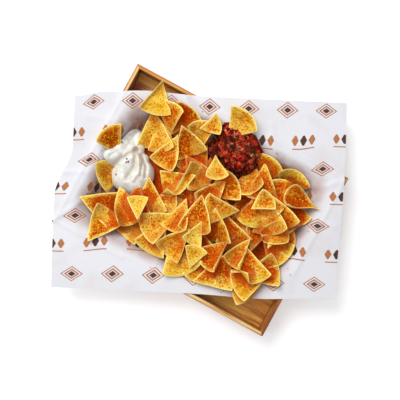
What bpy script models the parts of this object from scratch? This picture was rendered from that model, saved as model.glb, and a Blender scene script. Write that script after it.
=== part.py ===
"""A shallow wooden tray lined with a sheet of printed paper, filled with a heap of
triangular corn chips, a dollop of sour cream and a mound of chopped salsa.

Metres, +Z up. The origin is the middle of the tray's underside, +X runs along the
tray's long side and +Y towards the long wall behind the salsa.
"""

import math
import random

import bmesh
import bpy
import numpy as np
from mathutils import Matrix

MM = 0.001

# Tray: outside size, wall and floor.
TRAY_LENGTH = 360.0
TRAY_WIDTH = 270.0
TRAY_HEIGHT = 50.0
WALL = 6.0
FLOOR = 6.0
RIM_ROUNDING = 1.6
GAP = 0.3

INNER_X = TRAY_LENGTH / 2 - WALL
INNER_Y = TRAY_WIDTH / 2 - WALL

# Paper: a sheet turned against the tray, over the rim on all four sides.
PAPER_TURN = 26.2
PAPER_THICKNESS = 0.6
PAPER_RIGHT = 214.5
PAPER_LEFT = 218.0
PAPER_TOP = 154.5
PAPER_BOTTOM = -140.0
# How far an edge draws in, and over which stretch of its length.
LEFT_STEP = (25.0, 0.0, 80.0)
RIGHT_STEP = (6.5, 60.0, -140.0)
TOP_STEP = (7.0, -150.0, -190.0)
# How far an edge bows out, and the middle and width of the bow.
TOP_BOW = (5.5, -85.0, 55.0)
BOTTOM_BOW = (4.0, 90.0, 60.0)
PAPER_CELLS = (28, 20)
RIM_PAPER = TRAY_HEIGHT + 2.0
FLOOR_PAPER = FLOOR + GAP + PAPER_THICKNESS
DIP_START = 4.0
DIP_RUN = 54.0
EDGE_RUN = 62.0
EDGE_DIP = 0.14

# Flaps outside the rim: the left one rises a little, the others bend down.
FLAP_START = 5.0
LEFT_RISE = 7.0
LEFT_RISE_BEND = 6.0
LEFT_RISE_FROM = -95.0
LEFT_RISE_RUN = 70.0
RIGHT_BEND = 0.0022
RIGHT_BEND_FROM = -20.0
RIGHT_BEND_RUN = 80.0
BACK_BEND = 0.0007
FRONT_BEND = 0.0010
LOWEST_FLAP = 5.0

# Chips: sixty degree sectors of a small round tortilla.
CHIP_RADIUS = 58.0
CHIP_THICKNESS = 2.0
CHIP_ROWS = 3
LONE_CHIP_ROWS = 5
LAID_ROWS = 36
CHIP_MIDDLE = 0.62
CHIP_CURL = 1.25
RADIUS_SPREAD = (0.92, 1.07)
ANGLE_SPREAD = (0.86, 1.12)
ARCH_SPREAD = (-3.0, 6.0)
TWIST_SPREAD = (-5.0, 5.0)
SMALL_CHIP = 0.62
SHAPE_SEED = 31
CLEARANCE = 1.8
SLOPE_REACH = 5.0

# A corner or a side curls up: its heading and how far out it lies, from where (share of
# that), how tightly and how far (degrees); and the share of chips that do, by layer.
FOLD_WAYS = {180: 0.62, 62: 0.56, -62: 0.56, 120: 0.31, -120: 0.31}
FOLD_FROM = (0.3, 0.75)
FOLD_BEND = 6.0
FOLD_TURN = (60.0, 130.0)
MIDDLE_FOLDED = 0.12
TOP_FOLDED = 0.6

# Share of a chip and millimetres that may sink into others, and whether it tips.
SETTLED = (0.08, 4.0, True)
STEEP = (0.4, math.inf, False)
APART = (0.0, 0.0, False)
TILT_STEPS = (8.0, 3.0, 1.2)
TILT_COST = 0.006
STEEPEST = 32.0

# Heap core: a low mound under the chips.
CORE_MIDDLE = (2.0, -8.0)
CORE_REACH = (134.0, 97.0)
CORE_EDGE = 15.0
CORE_PEAK = 37.0
CORE_SQUARENESS = 2.6
CORE_FALL = 2.2
CORE_FOOT = 23.0
CORE_NET = (11, 40)

# Salsa mound and the hollow in the core that it lies in. Its edge lies further out
# towards some sides: heading, further, width in degrees.
SALSA_MIDDLE = (11.0, 92.0)
SALSA_REACH = (39.0, 34.0)
SALSA_TONGUES = ((-42, 11.0, 26), (208, 4.0, 30), (119, 2.5, 25))
SALSA_TOP = 57.0
SALSA_LUMP = 1.6
SALSA_BED = 24.0
SALSA_BED_REACH = (51.0, 46.0)
SALSA_BED_BLEND = 0.5

# Sour cream: its edge lies further out towards some sides (heading, further, width in
# degrees). It is built of bumps, each a row of middle x and y, reach along x and y,
# height and squareness: the main dollop, its swirl, the lobe beside it, the smear behind.
CREAM_MIDDLE = (-116.0, 0.0)
CREAM_REACH = 33.0
CREAM_TONGUES = (
    (112, 19.0, 24),
    (72, -10.0, 18),
    (36, -8.0, 20),
    (-56, 16.0, 50),
    (-108, 5.0, 26),
    (190, 12.0, 17),
    (217, -5.0, 12),
    (150, 3.0, 14),
)
CREAM_BUMPS = (
    (-107.5, -17.0, 34.0, 34.0, 18.0, 4),
    (-118.0, 12.0, 16.0, 16.0, 9.0, 2),
    (-145.0, -2.0, 15.0, 20.0, 11.0, 3),
    (-133.0, 28.0, 17.0, 22.0, 7.0, 3),
    (-96.0, -8.0, 12.0, 16.0, 3.0, 2),
)
CREAM_EDGE = 3.0
CREAM_BED = 20.0
CREAM_BED_REACH = (52.0, 52.0)
CREAM_BED_BLEND = 0.4

# Both beds end this many reaches out; toppings keep these gaps and this least depth.
BED_END = 1.35
TOPPING_GAP = 1.4
TOPPING_LEAST = 1.2
TOPPING_EDGE = 2.0
SALSA_NET = (7, 28)
CREAM_NET = (8, 32)
CUT_GAP = 1.2

# Each row is one chip that shows: x and y of its middle, the heading of its round side,
# how far that side is lifted, how far its left side is lifted (degrees), and the curl
# of its long edges (mm, before CHIP_CURL). Rows run from the lowest chip to the top one.
LOW_CHIPS = (
    (-80, 65, 60, 0, 0, 5),
    (-10, 22, 90, 0, 0, 7),
    (62, 3, -90, 0, 0, 9),
    (112, -22, 0, 0, 0, 7),
    (40, -28, -55, 0, 0, 5),
    (-18, -8, -20, 0, 0, 9),
    (-70, -50, -90, 0, 0, 7),
    (30, -48, -120, 0, 0, 5),
    (-46, -35, 5, 0, 0, 7),
    (20, -60, -50, 0, 0, 9),
    (138, 6, 30, 0, 0, 5),
    (-78, -82, 20, -6, 0, 5),
    (131, 48, -60, 0, 0, 7),
    (53, -90, -80, 0, 0, 5),
    (-100, 72, 190, 0, 0, 5),
    (97, 2, 100, 0, 0, 7),
)
MIDDLE_CHIPS = (
    (-79, 96, 75, 8, 0, 5),
    (-45, 88, 113, 0, 6, 9),
    (-107, 55, -55, 0, 10, 9),
    (-32, -86, -95, -4, 0, 7),
    (-67, -38, -62, 0, 0, 7),
    (63, 86, 90, 4, 0, 11),
    (107, 88, 83, 4, 0, 9),
    (137, -12, -20, 0, 0, 7),
    (16, -93, -44, -4, 0, 7),
    (118, -82, -17, -6, 0, 7),
    (76, -86, 42, -4, 6, 9),
    (0, 45, -60, -6, 0, 7),
    (24, 34, 51, 0, 0, 11),
    (123, 22, 90, -8, 0, 9),
    (66, -25, -45, 0, 8, 7),
    (136, -48, 42, 0, 0, 11),
    (84, 44, 70, 6, 12, 9),
    (-54, 65, -40, 4, 0, 11),
    (-81, -55, -70, 0, 8, 7),
    (-128, 99, -76, -6, 0, 6),
    (-124, -78, 5, 0, 0, 9),
    (-112, -98, 82, -22, 0, 13),
)
TOP_CHIPS = (
    (-22, 32, -30, 0, 8, 13),
    (80, 22, -80, 0, 0, -11),
    (-45, 3, -129, 0, 0, 9),
    (11, 14, -105, 4, 0, 13),
    (30, 0, -155, 6, -8, 9),
    (104, 66, 106, 6, -14, -13),
    (72, 63, -69, 6, 12, -9),
    (-75, 36, -89, 0, 0, 14),
    (118, -70, -134, 0, 6, 9),
    (129, 70, 183, 0, 0, 20),
    (10, -27, -70, 4, 0, 13),
    (-41, -64, -126, 4, 8, 11),
    (-1, -77, -105, 2, 0, 13),
    (115, -54, -50, 8, 10, 9),
    (57, -62, -109, 8, 16, 13),
    (119, 8, 40, 6, 0, 23),
    (90, -43, -100, 6, 0, 18),
    (-90, -66, -45, 4, 0, 22),
)
STEEP_CHIPS = (
    (-100, 90, 112, 0, -38, 5),
    (-97, 53, -55, 0, 42, 5),
    (-25, 24, 70, 10, 48, 7),
    (52, 60, -70, 0, 44, 7),
    (115, 36, -35, 0, 46, 5),
    (105, 23, -48, 0, 40, 5),
    (44, -27, -56, 0, 48, 5),
    (-15, -40, -80, 0, 46, 7),
)
SMALL_CHIPS = (
    (-36, 106, 40, 4, 0, 4),
    (18, -50, -90, 10, 0, 5),
    (31, -75, 100, 8, 6, 4),
    (84, 44, 60, 8, 0, 5),
    (0, 50, -60, 8, 0, 6),
    (-78, -50, 119, 6, 0, 5),
)
# Chips that lie apart from the heap, each a row as above, then its size.
LONE_CHIPS = {
    "chip_at_left_wall": (-159, 16, 145, 10, 0, 5, 1.0),
    "chip_behind_salsa": (-1, 129, 76, 20, 0, 8, 1.0),
    "chip_under_cream": (-138, -26, -120, 0, 0, 3, 1.2),
}

MAP_STEP = 2.0
MAP_X = (-210.0, 210.0)
MAP_Y = (-160.0, 180.0)


def smooth(t):
    """A soft step from 0 to 1."""
    t = np.clip(t, 0.0, 1.0)
    return t * t * (3 - 2 * t)


def material(name, colour, roughness):
    made = bpy.data.materials.new(name)
    made.use_nodes = True
    shader = made.node_tree.nodes["Principled BSDF"]
    shader.inputs["Base Color"].default_value = (*colour, 1.0)
    shader.inputs["Roughness"].default_value = roughness
    shader.inputs["Metallic"].default_value = 0.0
    made.diffuse_color = (*colour, 1.0)
    return made


def new_object(name, points_mm, faces, finish, smooth_angle=None):
    """A mesh object from points in millimetres and its faces."""
    mesh = bpy.data.meshes.new(name)
    mesh.from_pydata([tuple(c * MM for c in p) for p in points_mm], [], faces)
    mesh.materials.append(finish)
    mesh.validate()
    if smooth_angle is not None:
        mesh.shade_smooth()
        mesh.set_sharp_from_angle(angle=math.radians(smooth_angle))
    made = bpy.data.objects.new(name, mesh)
    bpy.context.scene.collection.objects.link(made)
    return made


# ---- Tray ----


def wall_profile():
    """(outwards from the inner face, height) round a wall's section, anticlockwise."""
    points = [(0.0, 0.0), (WALL, 0.0)]
    for start, middle in ((0, WALL - RIM_ROUNDING), (90, RIM_ROUNDING)):
        for step in range(4):
            angle = math.radians(start + 30 * step)
            points.append(
                (
                    middle + RIM_ROUNDING * math.cos(angle),
                    TRAY_HEIGHT - RIM_ROUNDING + RIM_ROUNDING * math.sin(angle),
                )
            )
    return points


def tray_wall(name, half_length, distance, turn, finish):
    """One wall with mitred ends, turned about the tray's middle."""
    profile = wall_profile()
    count = len(profile)
    points = []
    for end in (-1, 1):
        for out, z in profile:
            along = half_length + out - GAP / 2
            points.append((end * along, distance + out, z))
    faces = [tuple(range(count)), tuple(range(2 * count - 1, count - 1, -1))]
    for i in range(count):
        j = (i + 1) % count
        faces.append((i, count + i, count + j, j))
    wall = new_object(name, points, faces, finish)
    wall.data.transform(Matrix.Rotation(math.radians(turn), 4, "Z"))
    repair_normals(wall.data)
    return wall


def repair_normals(mesh):
    editing = bmesh.new()
    editing.from_mesh(mesh)
    bmesh.ops.recalc_face_normals(editing, faces=editing.faces)
    editing.to_mesh(mesh)
    editing.free()


def make_tray():
    wood = material("bamboo", (0.62, 0.34, 0.11), 0.45)
    tray_wall("tray_wall_back", INNER_X, INNER_Y, 0, wood)
    tray_wall("tray_wall_left", INNER_Y, INNER_X, 90, wood)
    tray_wall("tray_wall_front", INNER_X, INNER_Y, 180, wood)
    tray_wall("tray_wall_right", INNER_Y, INNER_X, 270, wood)
    panel = material("bamboo_floor", (0.52, 0.27, 0.09), 0.5)
    x, y = INNER_X - GAP, INNER_Y - GAP
    corners = [(-x, -y), (x, -y), (x, y), (-x, y)]
    points = [(*c, z) for z in (0.0, FLOOR) for c in corners]
    faces = [(3, 2, 1, 0), (4, 5, 6, 7)]
    faces += [(i, (i + 1) % 4, 4 + (i + 1) % 4, 4 + i) for i in range(4)]
    new_object("tray_floor", points, faces, panel)


# ---- Paper ----


def across_paper(x, y):
    """A place on the tray in the paper's own directions."""
    c, s = math.cos(math.radians(PAPER_TURN)), math.sin(math.radians(PAPER_TURN))
    return x * c + y * s, y * c - x * s


def from_paper(p, q):
    c, s = math.cos(math.radians(PAPER_TURN)), math.sin(math.radians(PAPER_TURN))
    return p * c - q * s, p * s + q * c


def paper_height(x, y):
    """Height of the paper's upper face: down inside the walls, over the rim, then out."""
    dip = smooth((INNER_X - abs(x) - DIP_START) / DIP_RUN)
    dip = dip * smooth((INNER_Y - abs(y) - DIP_START) / DIP_RUN)
    _, q = across_paper(x, y)
    from_edge = np.minimum(PAPER_TOP - q, q - PAPER_BOTTOM)
    dip = dip * (EDGE_DIP + (1 - EDGE_DIP) * smooth(from_edge / EDGE_RUN))
    z = RIM_PAPER - (RIM_PAPER - FLOOR_PAPER) * dip
    end, side = TRAY_LENGTH / 2 + FLAP_START, TRAY_WIDTH / 2 + FLAP_START
    left_out = np.maximum(-x - end, 0.0)
    slope = math.tan(math.radians(LEFT_RISE)) * smooth((y - LEFT_RISE_FROM) / LEFT_RISE_RUN)
    z = z + slope * left_out**2 / (left_out + LEFT_RISE_BEND)
    right_share = smooth((y - RIGHT_BEND_FROM) / RIGHT_BEND_RUN)
    z = z - RIGHT_BEND * right_share * np.maximum(x - end, 0.0) ** 2
    z = z - BACK_BEND * np.maximum(y - side, 0.0) ** 2
    z = z - FRONT_BEND * np.maximum(-y - side, 0.0) ** 2
    return np.maximum(z, LOWEST_FLAP)


def clear_of(height, x, y):
    """The highest that a surface is within a few millimetres of a place."""
    reach = SLOPE_REACH * np.array([0.0, 1.0, 0.7, 0.0, -0.7, -1.0, -0.7, 0.0, 0.7])
    side = SLOPE_REACH * np.array([0.0, 0.0, 0.7, 1.0, 0.7, 0.0, -0.7, -1.0, -0.7])
    return np.max([height(x + a, y + b) for a, b in zip(reach, side)], axis=0)


def drawn_in(along, step):
    depth, start, end = step
    return depth * smooth((along - start) / (end - start))


def bowed(along, bow):
    depth, middle, width = bow
    return depth * np.exp(-(((along - middle) / width) ** 2))


def paper_place(u, v):
    """x, y of a place on the sheet, u and v from 0 to 1 along its long and short side."""
    q = PAPER_BOTTOM + (PAPER_TOP - PAPER_BOTTOM) * v
    left = drawn_in(q, LEFT_STEP) - PAPER_LEFT
    p = left + (PAPER_RIGHT - drawn_in(q, RIGHT_STEP) - left) * u
    top = PAPER_TOP - drawn_in(p, TOP_STEP) + bowed(p, TOP_BOW)
    bottom = PAPER_BOTTOM - bowed(p, BOTTOM_BOW)
    return from_paper(p, bottom + (top - bottom) * v)


def make_paper():
    """The draped sheet, closed, with both faces split into triangles alike."""
    across, up = PAPER_CELLS
    u, v = np.meshgrid(np.linspace(0, 1, across + 1), np.linspace(0, 1, up + 1))
    x, y = paper_place(u.ravel(), v.ravel())
    z = paper_height(x, y)
    step = 0.5
    slope_x = (paper_height(x + step, y) - paper_height(x - step, y)) / (2 * step)
    slope_y = (paper_height(x, y + step) - paper_height(x, y - step)) / (2 * step)
    normal = np.stack([-slope_x, -slope_y, np.ones_like(x)], axis=1)
    normal /= np.linalg.norm(normal, axis=1)[:, None]
    top = np.stack([x, y, z], axis=1)
    points = np.concatenate([top, top - PAPER_THICKNESS * normal])
    white = material("printed_paper", (0.82, 0.81, 0.82), 0.7)
    net = z.reshape(up + 1, across + 1)
    middle_u, middle_v = (u[:-1, :-1] + u[1:, 1:]) / 2, (v[:-1, :-1] + v[1:, 1:]) / 2
    true = paper_height(*paper_place(middle_u, middle_v))
    rising, falling = (net[:-1, :-1] + net[1:, 1:]) / 2, (net[:-1, 1:] + net[1:, :-1]) / 2
    split_rising = abs(rising - true) <= abs(falling - true)
    faces = sheet_faces(across, up, split_rising)
    return new_object("paper_liner", points, faces, white, smooth_angle=60)


def sheet_faces(across, up, split_rising):
    """Triangles of a closed sheet: upper points first, then the lower ones."""
    row, lower = across + 1, (across + 1) * (up + 1)
    faces = []
    for j in range(up):
        for i in range(across):
            a = j * row + i
            b, c, d = a + 1, a + row + 1, a + row
            for one in ((a, b, c), (a, c, d)) if split_rising[j, i] else ((a, b, d), (b, c, d)):
                faces.append(one)
                faces.append(tuple(k + lower for k in reversed(one)))
    rim = list(range(across))
    rim += [j * row + across for j in range(up)]
    rim += [up * row + i for i in range(across, 0, -1)]
    rim += [j * row for j in range(up, 0, -1)]
    for a, b in zip(rim, rim[1:] + rim[:1]):
        faces.append((b, a, a + lower))
        faces.append((b, a + lower, b + lower))
    return faces


# ---- Heap core, salsa and cream ----


def radial_reach(x, y, middle, reach, squareness):
    """0 at the middle, 1 on the outline of a rounded oblong."""
    dx, dy = abs(x - middle[0]) / reach[0], abs(y - middle[1]) / reach[1]
    return (dx**squareness + dy**squareness) ** (1 / squareness)


def core_height(x, y):
    """Height of the core's upper face, with a bed for the salsa and one for the cream."""
    r = radial_reach(x, y, CORE_MIDDLE, CORE_REACH, CORE_SQUARENESS)
    z = CORE_EDGE + (CORE_PEAK - CORE_EDGE) * (1 - np.clip(r, 0, 1) ** CORE_FALL)
    for middle, reach, blend, height in (
        (SALSA_MIDDLE, SALSA_BED_REACH, SALSA_BED_BLEND, SALSA_BED),
        (CREAM_MIDDLE, CREAM_BED_REACH, CREAM_BED_BLEND, CREAM_BED),
    ):
        bed = smooth((BED_END - radial_reach(x, y, middle, reach, 2.0)) / blend)
        z = z + (np.minimum(z, height) - z) * bed
    return z


def further_out(angle, tongues):
    """How much further out a spoke reaches for the tongues near it."""
    reach = 0.0
    for towards, further, width in tongues:
        off = (math.degrees(angle) - towards + 180) % 360 - 180
        reach += further * math.exp(-((off / width) ** 2))
    return reach


def salsa_outline(angle):
    """Length of a spoke from the salsa's middle to its uneven edge."""
    uneven = 1 + 0.07 * math.sin(3 * angle + 0.6) + 0.05 * math.sin(5 * angle + 2.1)
    reach = uneven / math.hypot(math.cos(angle) / SALSA_REACH[0], math.sin(angle) / SALSA_REACH[1])
    return reach + further_out(angle, SALSA_TONGUES)


def salsa_top(x, y, r):
    """A loose mound: steep at its foot, lumpy on top."""
    lumps = SALSA_LUMP * (np.sin(x / 4.1 + 1) * np.sin(y / 3.7) + 0.7 * np.sin((x + y) / 2.9))
    bed = np.maximum(SALSA_BED, paper_height(x, y)) + TOPPING_EDGE
    crown = np.clip(1 - r**2.6, 0, 1) ** 0.6
    return bed + (SALSA_TOP - bed) * crown + lumps * np.clip(1 - r, 0, 1) ** 0.4


def cream_outline(angle):
    """Length of a spoke from the cream's middle to its edge."""
    return CREAM_REACH + further_out(angle, CREAM_TONGUES)


def cream_top(x, y, r):
    """The dollop with its swirl, the lobe beside it and the smear behind."""
    bed = np.maximum(CREAM_BED, paper_height(x, y)) + TOPPING_EDGE
    height = CREAM_EDGE
    for middle_x, middle_y, reach_x, reach_y, high, squareness in CREAM_BUMPS:
        across, up = abs(x - middle_x) / reach_x, abs(y - middle_y) / reach_y
        height = height + high * np.exp(-(across**squareness + up**squareness))
    return bed + height * np.clip(1 - r**5, 0, 1) ** 0.5


def mound(name, middle, outline, top, bottom, net, finish, margin=0.0):
    """A closed mound on a net of rings and spokes; outline gives each spoke's length.

    A margin makes it larger all round, and half as much below.
    """
    rings, spokes = net
    shares = [math.sin(0.5 * math.pi * (k / rings)) for k in range(1, rings + 1)]
    places = [(middle[0], middle[1], 0.0)]
    for share in shares:
        for k in range(spokes):
            angle = 2 * math.pi * k / spokes
            reach = share * (outline(angle) + margin)
            places.append(
                (
                    middle[0] + reach * math.cos(angle),
                    middle[1] + reach * math.sin(angle),
                    share,
                )
            )
    x, y, r = np.array(places).T
    low = bottom(x, y)
    high = np.maximum(top(x, y, r), low + TOPPING_LEAST) + margin
    low = low - margin / 2
    points = list(np.stack([x, y, high], 1)) + list(np.stack([x, y, low], 1))
    lower, faces = len(places), []
    for k in range(spokes):
        following = (k + 1) % spokes
        fan = [(0, 1 + k, 1 + following)]
        for ring in range(rings - 1):
            a = 1 + ring * spokes + k
            b = 1 + ring * spokes + following
            fan.append((a, a + spokes, b + spokes))
            fan.append((a, b + spokes, b))
        for one in fan:
            faces.append(one)
            faces.append(tuple(i + lower for i in reversed(one)))
        a = 1 + (rings - 1) * spokes + k
        b = 1 + (rings - 1) * spokes + following
        faces.append((b, a, a + lower))
        faces.append((b, a + lower, b + lower))
    return new_object(name, points, faces, finish, smooth_angle=50)


def topping_bed(x, y):
    """The underside of the salsa and of the cream, just clear of what they lie on."""
    chips, paper = clear_of(core_height, x, y), clear_of(paper_height, x, y)
    return np.maximum(chips, paper) + TOPPING_GAP


def make_salsa(name="salsa", margin=0.0):
    red = material(name, (0.36, 0.06, 0.035), 0.35)
    shape = (SALSA_MIDDLE, salsa_outline, salsa_top, topping_bed, SALSA_NET)
    return mound(name, *shape, red, margin)


def make_cream(name="sour_cream", margin=0.0):
    white = material(name, (0.86, 0.84, 0.8), 0.3)
    shape = (CREAM_MIDDLE, cream_outline, cream_top, topping_bed, CREAM_NET)
    return mound(name, *shape, white, margin)


def core_outline(angle):
    """Length of a spoke from the core's middle to its outline, short of steep paper."""
    c, s = math.cos(angle), math.sin(angle)
    dx, dy = abs(c) / CORE_REACH[0], abs(s) / CORE_REACH[1]
    reach = (dx**CORE_SQUARENESS + dy**CORE_SQUARENESS) ** (-1 / CORE_SQUARENESS)
    while paper_height(CORE_MIDDLE[0] + reach * c, CORE_MIDDLE[1] + reach * s) > CORE_FOOT:
        reach -= 1.0
    return reach


def make_core(finish):
    return mound(
        "chips",
        CORE_MIDDLE,
        core_outline,
        lambda x, y, r: core_height(x, y),
        lambda x, y: clear_of(paper_height, x, y) + CLEARANCE,
        CORE_NET,
        finish,
    )


# ---- Chips ----


def chip_net(rows):
    """Distance from the tip, as a share, and angle of every point of a chip."""
    share, angle = [], []
    for i in range(rows + 1):
        for j in range(i + 1):
            share.append(i / rows)
            angle.append(math.radians(60) * (j / i - 0.5 if i else 0.0))
    return np.array(share), np.array(angle)


def draw_shape(draw, cup, folded, size):
    """Radius, angle and curls of one chip, and its curled corner or side, if any."""
    radius = size * CHIP_RADIUS * draw.uniform(*RADIUS_SPREAD)
    widen = draw.uniform(*ANGLE_SPREAD)
    arch, twist = draw.uniform(*ARCH_SPREAD), draw.uniform(*TWIST_SPREAD)
    pick, start, turn = draw.random(), draw.uniform(*FOLD_FROM), draw.uniform(*FOLD_TURN)
    way = draw.choice(list(FOLD_WAYS))
    fold = (way, start * FOLD_WAYS[way] * radius, turn)
    return radius, widen, (CHIP_CURL * cup, arch, twist), fold if pick < folded else None


def fold_up(points, way, start, turn):
    """Curls up and over what lies past a line across the chip."""
    heading = np.array([math.cos(math.radians(way)), math.sin(math.radians(way))])
    past = np.maximum(points[:, :2] @ heading - start, 0)
    angle = np.minimum(past / FOLD_BEND, math.radians(turn))
    rest = past - FOLD_BEND * angle
    along = FOLD_BEND * np.sin(angle) + rest * np.cos(angle)
    points[:, :2] += (along - past)[:, None] * heading
    points[:, 2] += FOLD_BEND * (1 - np.cos(angle)) + rest * np.sin(angle)


def chip_surface(rows, shape):
    """Local points of a chip's middle surface, from its tip to its arc."""
    radius, widen, (cup, arch, twist), fold = shape
    share, turn = chip_net(rows)
    x = radius * (share * np.cos(turn * widen) - CHIP_MIDDLE)
    y = radius * share * np.sin(turn * widen)
    a, b = 2 * x / radius, 2 * y / radius
    points = np.stack([x, y, arch * (a * a - 0.3) + twist * a * b], axis=1)
    if fold:
        fold_up(points, *fold)
    y, z = points[:, 1].copy(), points[:, 2].copy()
    angle = y * 8 * cup / radius**2
    points[:, 1] = y * np.sinc(angle / math.pi) - z * np.sin(angle)
    lift = y * angle / 2 * np.sinc(angle / 2 / math.pi) ** 2
    points[:, 2] = z * np.cos(angle) + lift - 0.3 * cup
    return points


def upper_faces(rows):
    start = [i * (i + 1) // 2 for i in range(rows + 1)]
    faces = []
    for i in range(rows):
        for j in range(i + 1):
            a, b, c = start[i] + j, start[i + 1] + j, start[i + 1] + j + 1
            faces.append((a, b, c))
            if j < i:
                faces.append((a, c, a + 1))
    return faces


def chip_faces(rows):
    """Triangles of a closed chip: upper points first, then the lower ones."""
    upper = upper_faces(rows)
    start = [i * (i + 1) // 2 for i in range(rows + 2)]
    lower = start[-1]
    faces = upper + [tuple(k + lower for k in reversed(one)) for one in upper]
    rim = [start[i] for i in range(rows)]
    rim += [start[rows] + j for j in range(rows)]
    rim += [start[i] + i for i in range(rows, 0, -1)]
    for a, b in zip(rim, rim[1:] + rim[:1]):
        faces.append((b, a, a + lower))
        faces.append((b, a + lower, b + lower))
    return faces


def chip_shell(rows, shape):
    """Local points of a closed chip: the upper ones first, then the lower ones."""
    points = chip_surface(rows, shape)
    normals = np.zeros_like(points)
    for one in upper_faces(rows):
        a, b, c = points[list(one)]
        normals[list(one)] += np.cross(b - a, c - a)
    normals *= CHIP_THICKNESS / 2 / np.linalg.norm(normals, axis=1)[:, None]
    return np.concatenate([points + normals, points - normals])


class HeightMap:
    """Heights on a fine square net, for laying chips on what is under them."""

    def __init__(self):
        x = np.arange(MAP_X[0], MAP_X[1], MAP_STEP)
        y = np.arange(MAP_Y[0], MAP_Y[1], MAP_STEP)
        self.x, self.y = np.meshgrid(x, y, indexing="ij")
        self.z = np.full_like(self.x, -100.0)

    def cells(self, points):
        i = np.rint((points[:, 0] - MAP_X[0]) / MAP_STEP).astype(int)
        j = np.rint((points[:, 1] - MAP_Y[0]) / MAP_STEP).astype(int)
        return np.clip(i, 0, self.z.shape[0] - 1), np.clip(j, 0, self.z.shape[1] - 1)

    def at(self, points):
        return self.z[self.cells(points)]

    def cover(self, points):
        np.maximum.at(self.z, self.cells(points), points[:, 2])


def turned(points, heading, pitch, roll):
    """Local points turned to the chip's heading, with its arc and left side lifted."""
    turn = (
        Matrix.Rotation(math.radians(heading), 3, "Z")
        @ Matrix.Rotation(math.radians(-pitch), 3, "Y")
        @ Matrix.Rotation(math.radians(roll), 3, "X")
    )
    return points @ np.array(turn).T


def lie_of(points, heights, heading):
    """Pitch and roll of the plane through what lies under a chip."""
    net = np.column_stack([points[:, :2], np.ones(len(points))])
    (slope_x, slope_y, _), *_ = np.linalg.lstsq(net, heights, rcond=None)
    c, s = math.cos(math.radians(heading)), math.sin(math.radians(heading))
    along, left = slope_x * c + slope_y * s, slope_y * c - slope_x * s
    return math.degrees(math.atan(along)), math.degrees(math.atan(left))


def lift_of(points, ground, pile, sunk, deepest):
    """How far a chip has to rise to lie clear of the ground and sink little in the pile."""
    half = CHIP_THICKNESS / 2
    over_ground = (ground.at(points) + CLEARANCE + half - points[:, 2]).max()
    over_pile = pile.at(points) + half - points[:, 2]
    return max(over_ground, np.quantile(over_pile, 1 - sunk), over_pile.max() - deepest)


def settled_tilt(sheet, place, heading, tilt, wanted, maps, sunk, deepest):
    """The tilt near the given one at which the chip's middle comes to lie lowest."""
    for step in TILT_STEPS:
        trials = []
        for tip in (-2, -1, 0, 1, 2):
            for lean in (-2, -1, 0, 1, 2):
                tried = (tilt[0] + tip * step, tilt[1] + lean * step)
                placed = turned(sheet, heading, *tried) + place
                high = placed[:, 2].mean() + lift_of(placed, *maps, sunk, deepest)
                off = (tried[0] - wanted[0]) ** 2 + (tried[1] - wanted[1]) ** 2
                trials.append((high + TILT_COST * off, tried))
        tilt = min(trials)[1]
    return tilt


def lay_chip(row, ground, pile, draw, rows, how, folded=0.0, size=1.0):
    """Points of one chip where it comes to lie.

    The second result is a fine net of points over its upper face.
    """
    x, y, heading, pitch, roll, cup = row
    sunk, deepest, tips = how
    shape = draw_shape(draw, cup, folded, size)
    sheet = chip_surface(LAID_ROWS, shape)
    flat = turned(sheet, heading, 0, 0) + (x, y, 0)
    lie = lie_of(flat, np.maximum(ground.at(flat), pile.at(flat)), heading)
    tilt = tuple(np.clip((pitch + lie[0], roll + lie[1]), -STEEPEST, STEEPEST))
    if tips:
        maps = (ground, pile)
        tilt = settled_tilt(sheet, (x, y, 0), heading, tilt, (pitch, roll), maps, sunk, deepest)
    placed = turned(sheet, heading, *tilt) + (x, y, 0)
    lift = lift_of(placed, ground, pile, sunk, deepest)
    shell = turned(chip_shell(rows, shape), heading, *tilt) + (x, y, lift)
    return shell, placed + (0, 0, lift + CHIP_THICKNESS / 2)


def join(whole, pieces, operation):
    """One Boolean of the pieces with the whole, applied."""
    group = bpy.data.collections.new("pieces")
    bpy.context.scene.collection.children.link(group)
    for piece in pieces:
        bpy.context.scene.collection.objects.unlink(piece)
        group.objects.link(piece)
    boolean = whole.modifiers.new("boolean", "BOOLEAN")
    boolean.operation = operation
    boolean.operand_type = "COLLECTION"
    boolean.collection = group
    boolean.solver = "EXACT"
    graph = bpy.context.evaluated_depsgraph_get()
    result = bpy.data.meshes.new_from_object(whole.evaluated_get(graph))
    whole.modifiers.remove(boolean)
    whole.data = result
    for piece in pieces:
        bpy.data.objects.remove(piece)
    bpy.data.collections.remove(group)


def keep_outer_shell(mesh):
    """Fills the hollows that fusing sealed and drops loose scraps."""
    editing = bmesh.new()
    editing.from_mesh(mesh)
    bmesh.ops.triangulate(editing, faces=editing.faces)
    left, shells = set(editing.faces), []
    while left:
        start = left.pop()
        shell, front = {start}, [start]
        while front:
            face = front.pop()
            for edge in face.edges:
                for near in edge.link_faces:
                    if near in left:
                        left.discard(near)
                        shell.add(near)
                        front.append(near)
        shells.append(shell)
    shells.sort(key=len)
    inner = [face for shell in shells[:-1] for face in shell]
    bmesh.ops.delete(editing, geom=inner, context="FACES")
    editing.to_mesh(mesh)
    editing.free()


def trim_round_toppings(piece):
    """Shortens what would cross the salsa or the cream."""
    rooms = [make_salsa("salsa_room", CUT_GAP), make_cream("cream_room", CUT_GAP)]
    join(piece, rooms, "DIFFERENCE")
    keep_outer_shell(piece.data)


def fresh_maps():
    """The ground that the heap stays clear of, and the pile, which starts as the core."""
    ground, pile = HeightMap(), HeightMap()
    ground.z = paper_height(ground.x, ground.y)
    r = radial_reach(pile.x, pile.y, CORE_MIDDLE, CORE_REACH, CORE_SQUARENESS)
    within = (r < 1) & (ground.z < CORE_FOOT)
    pile.z = np.where(within, core_height(pile.x, pile.y), pile.z)
    return ground, pile


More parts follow.
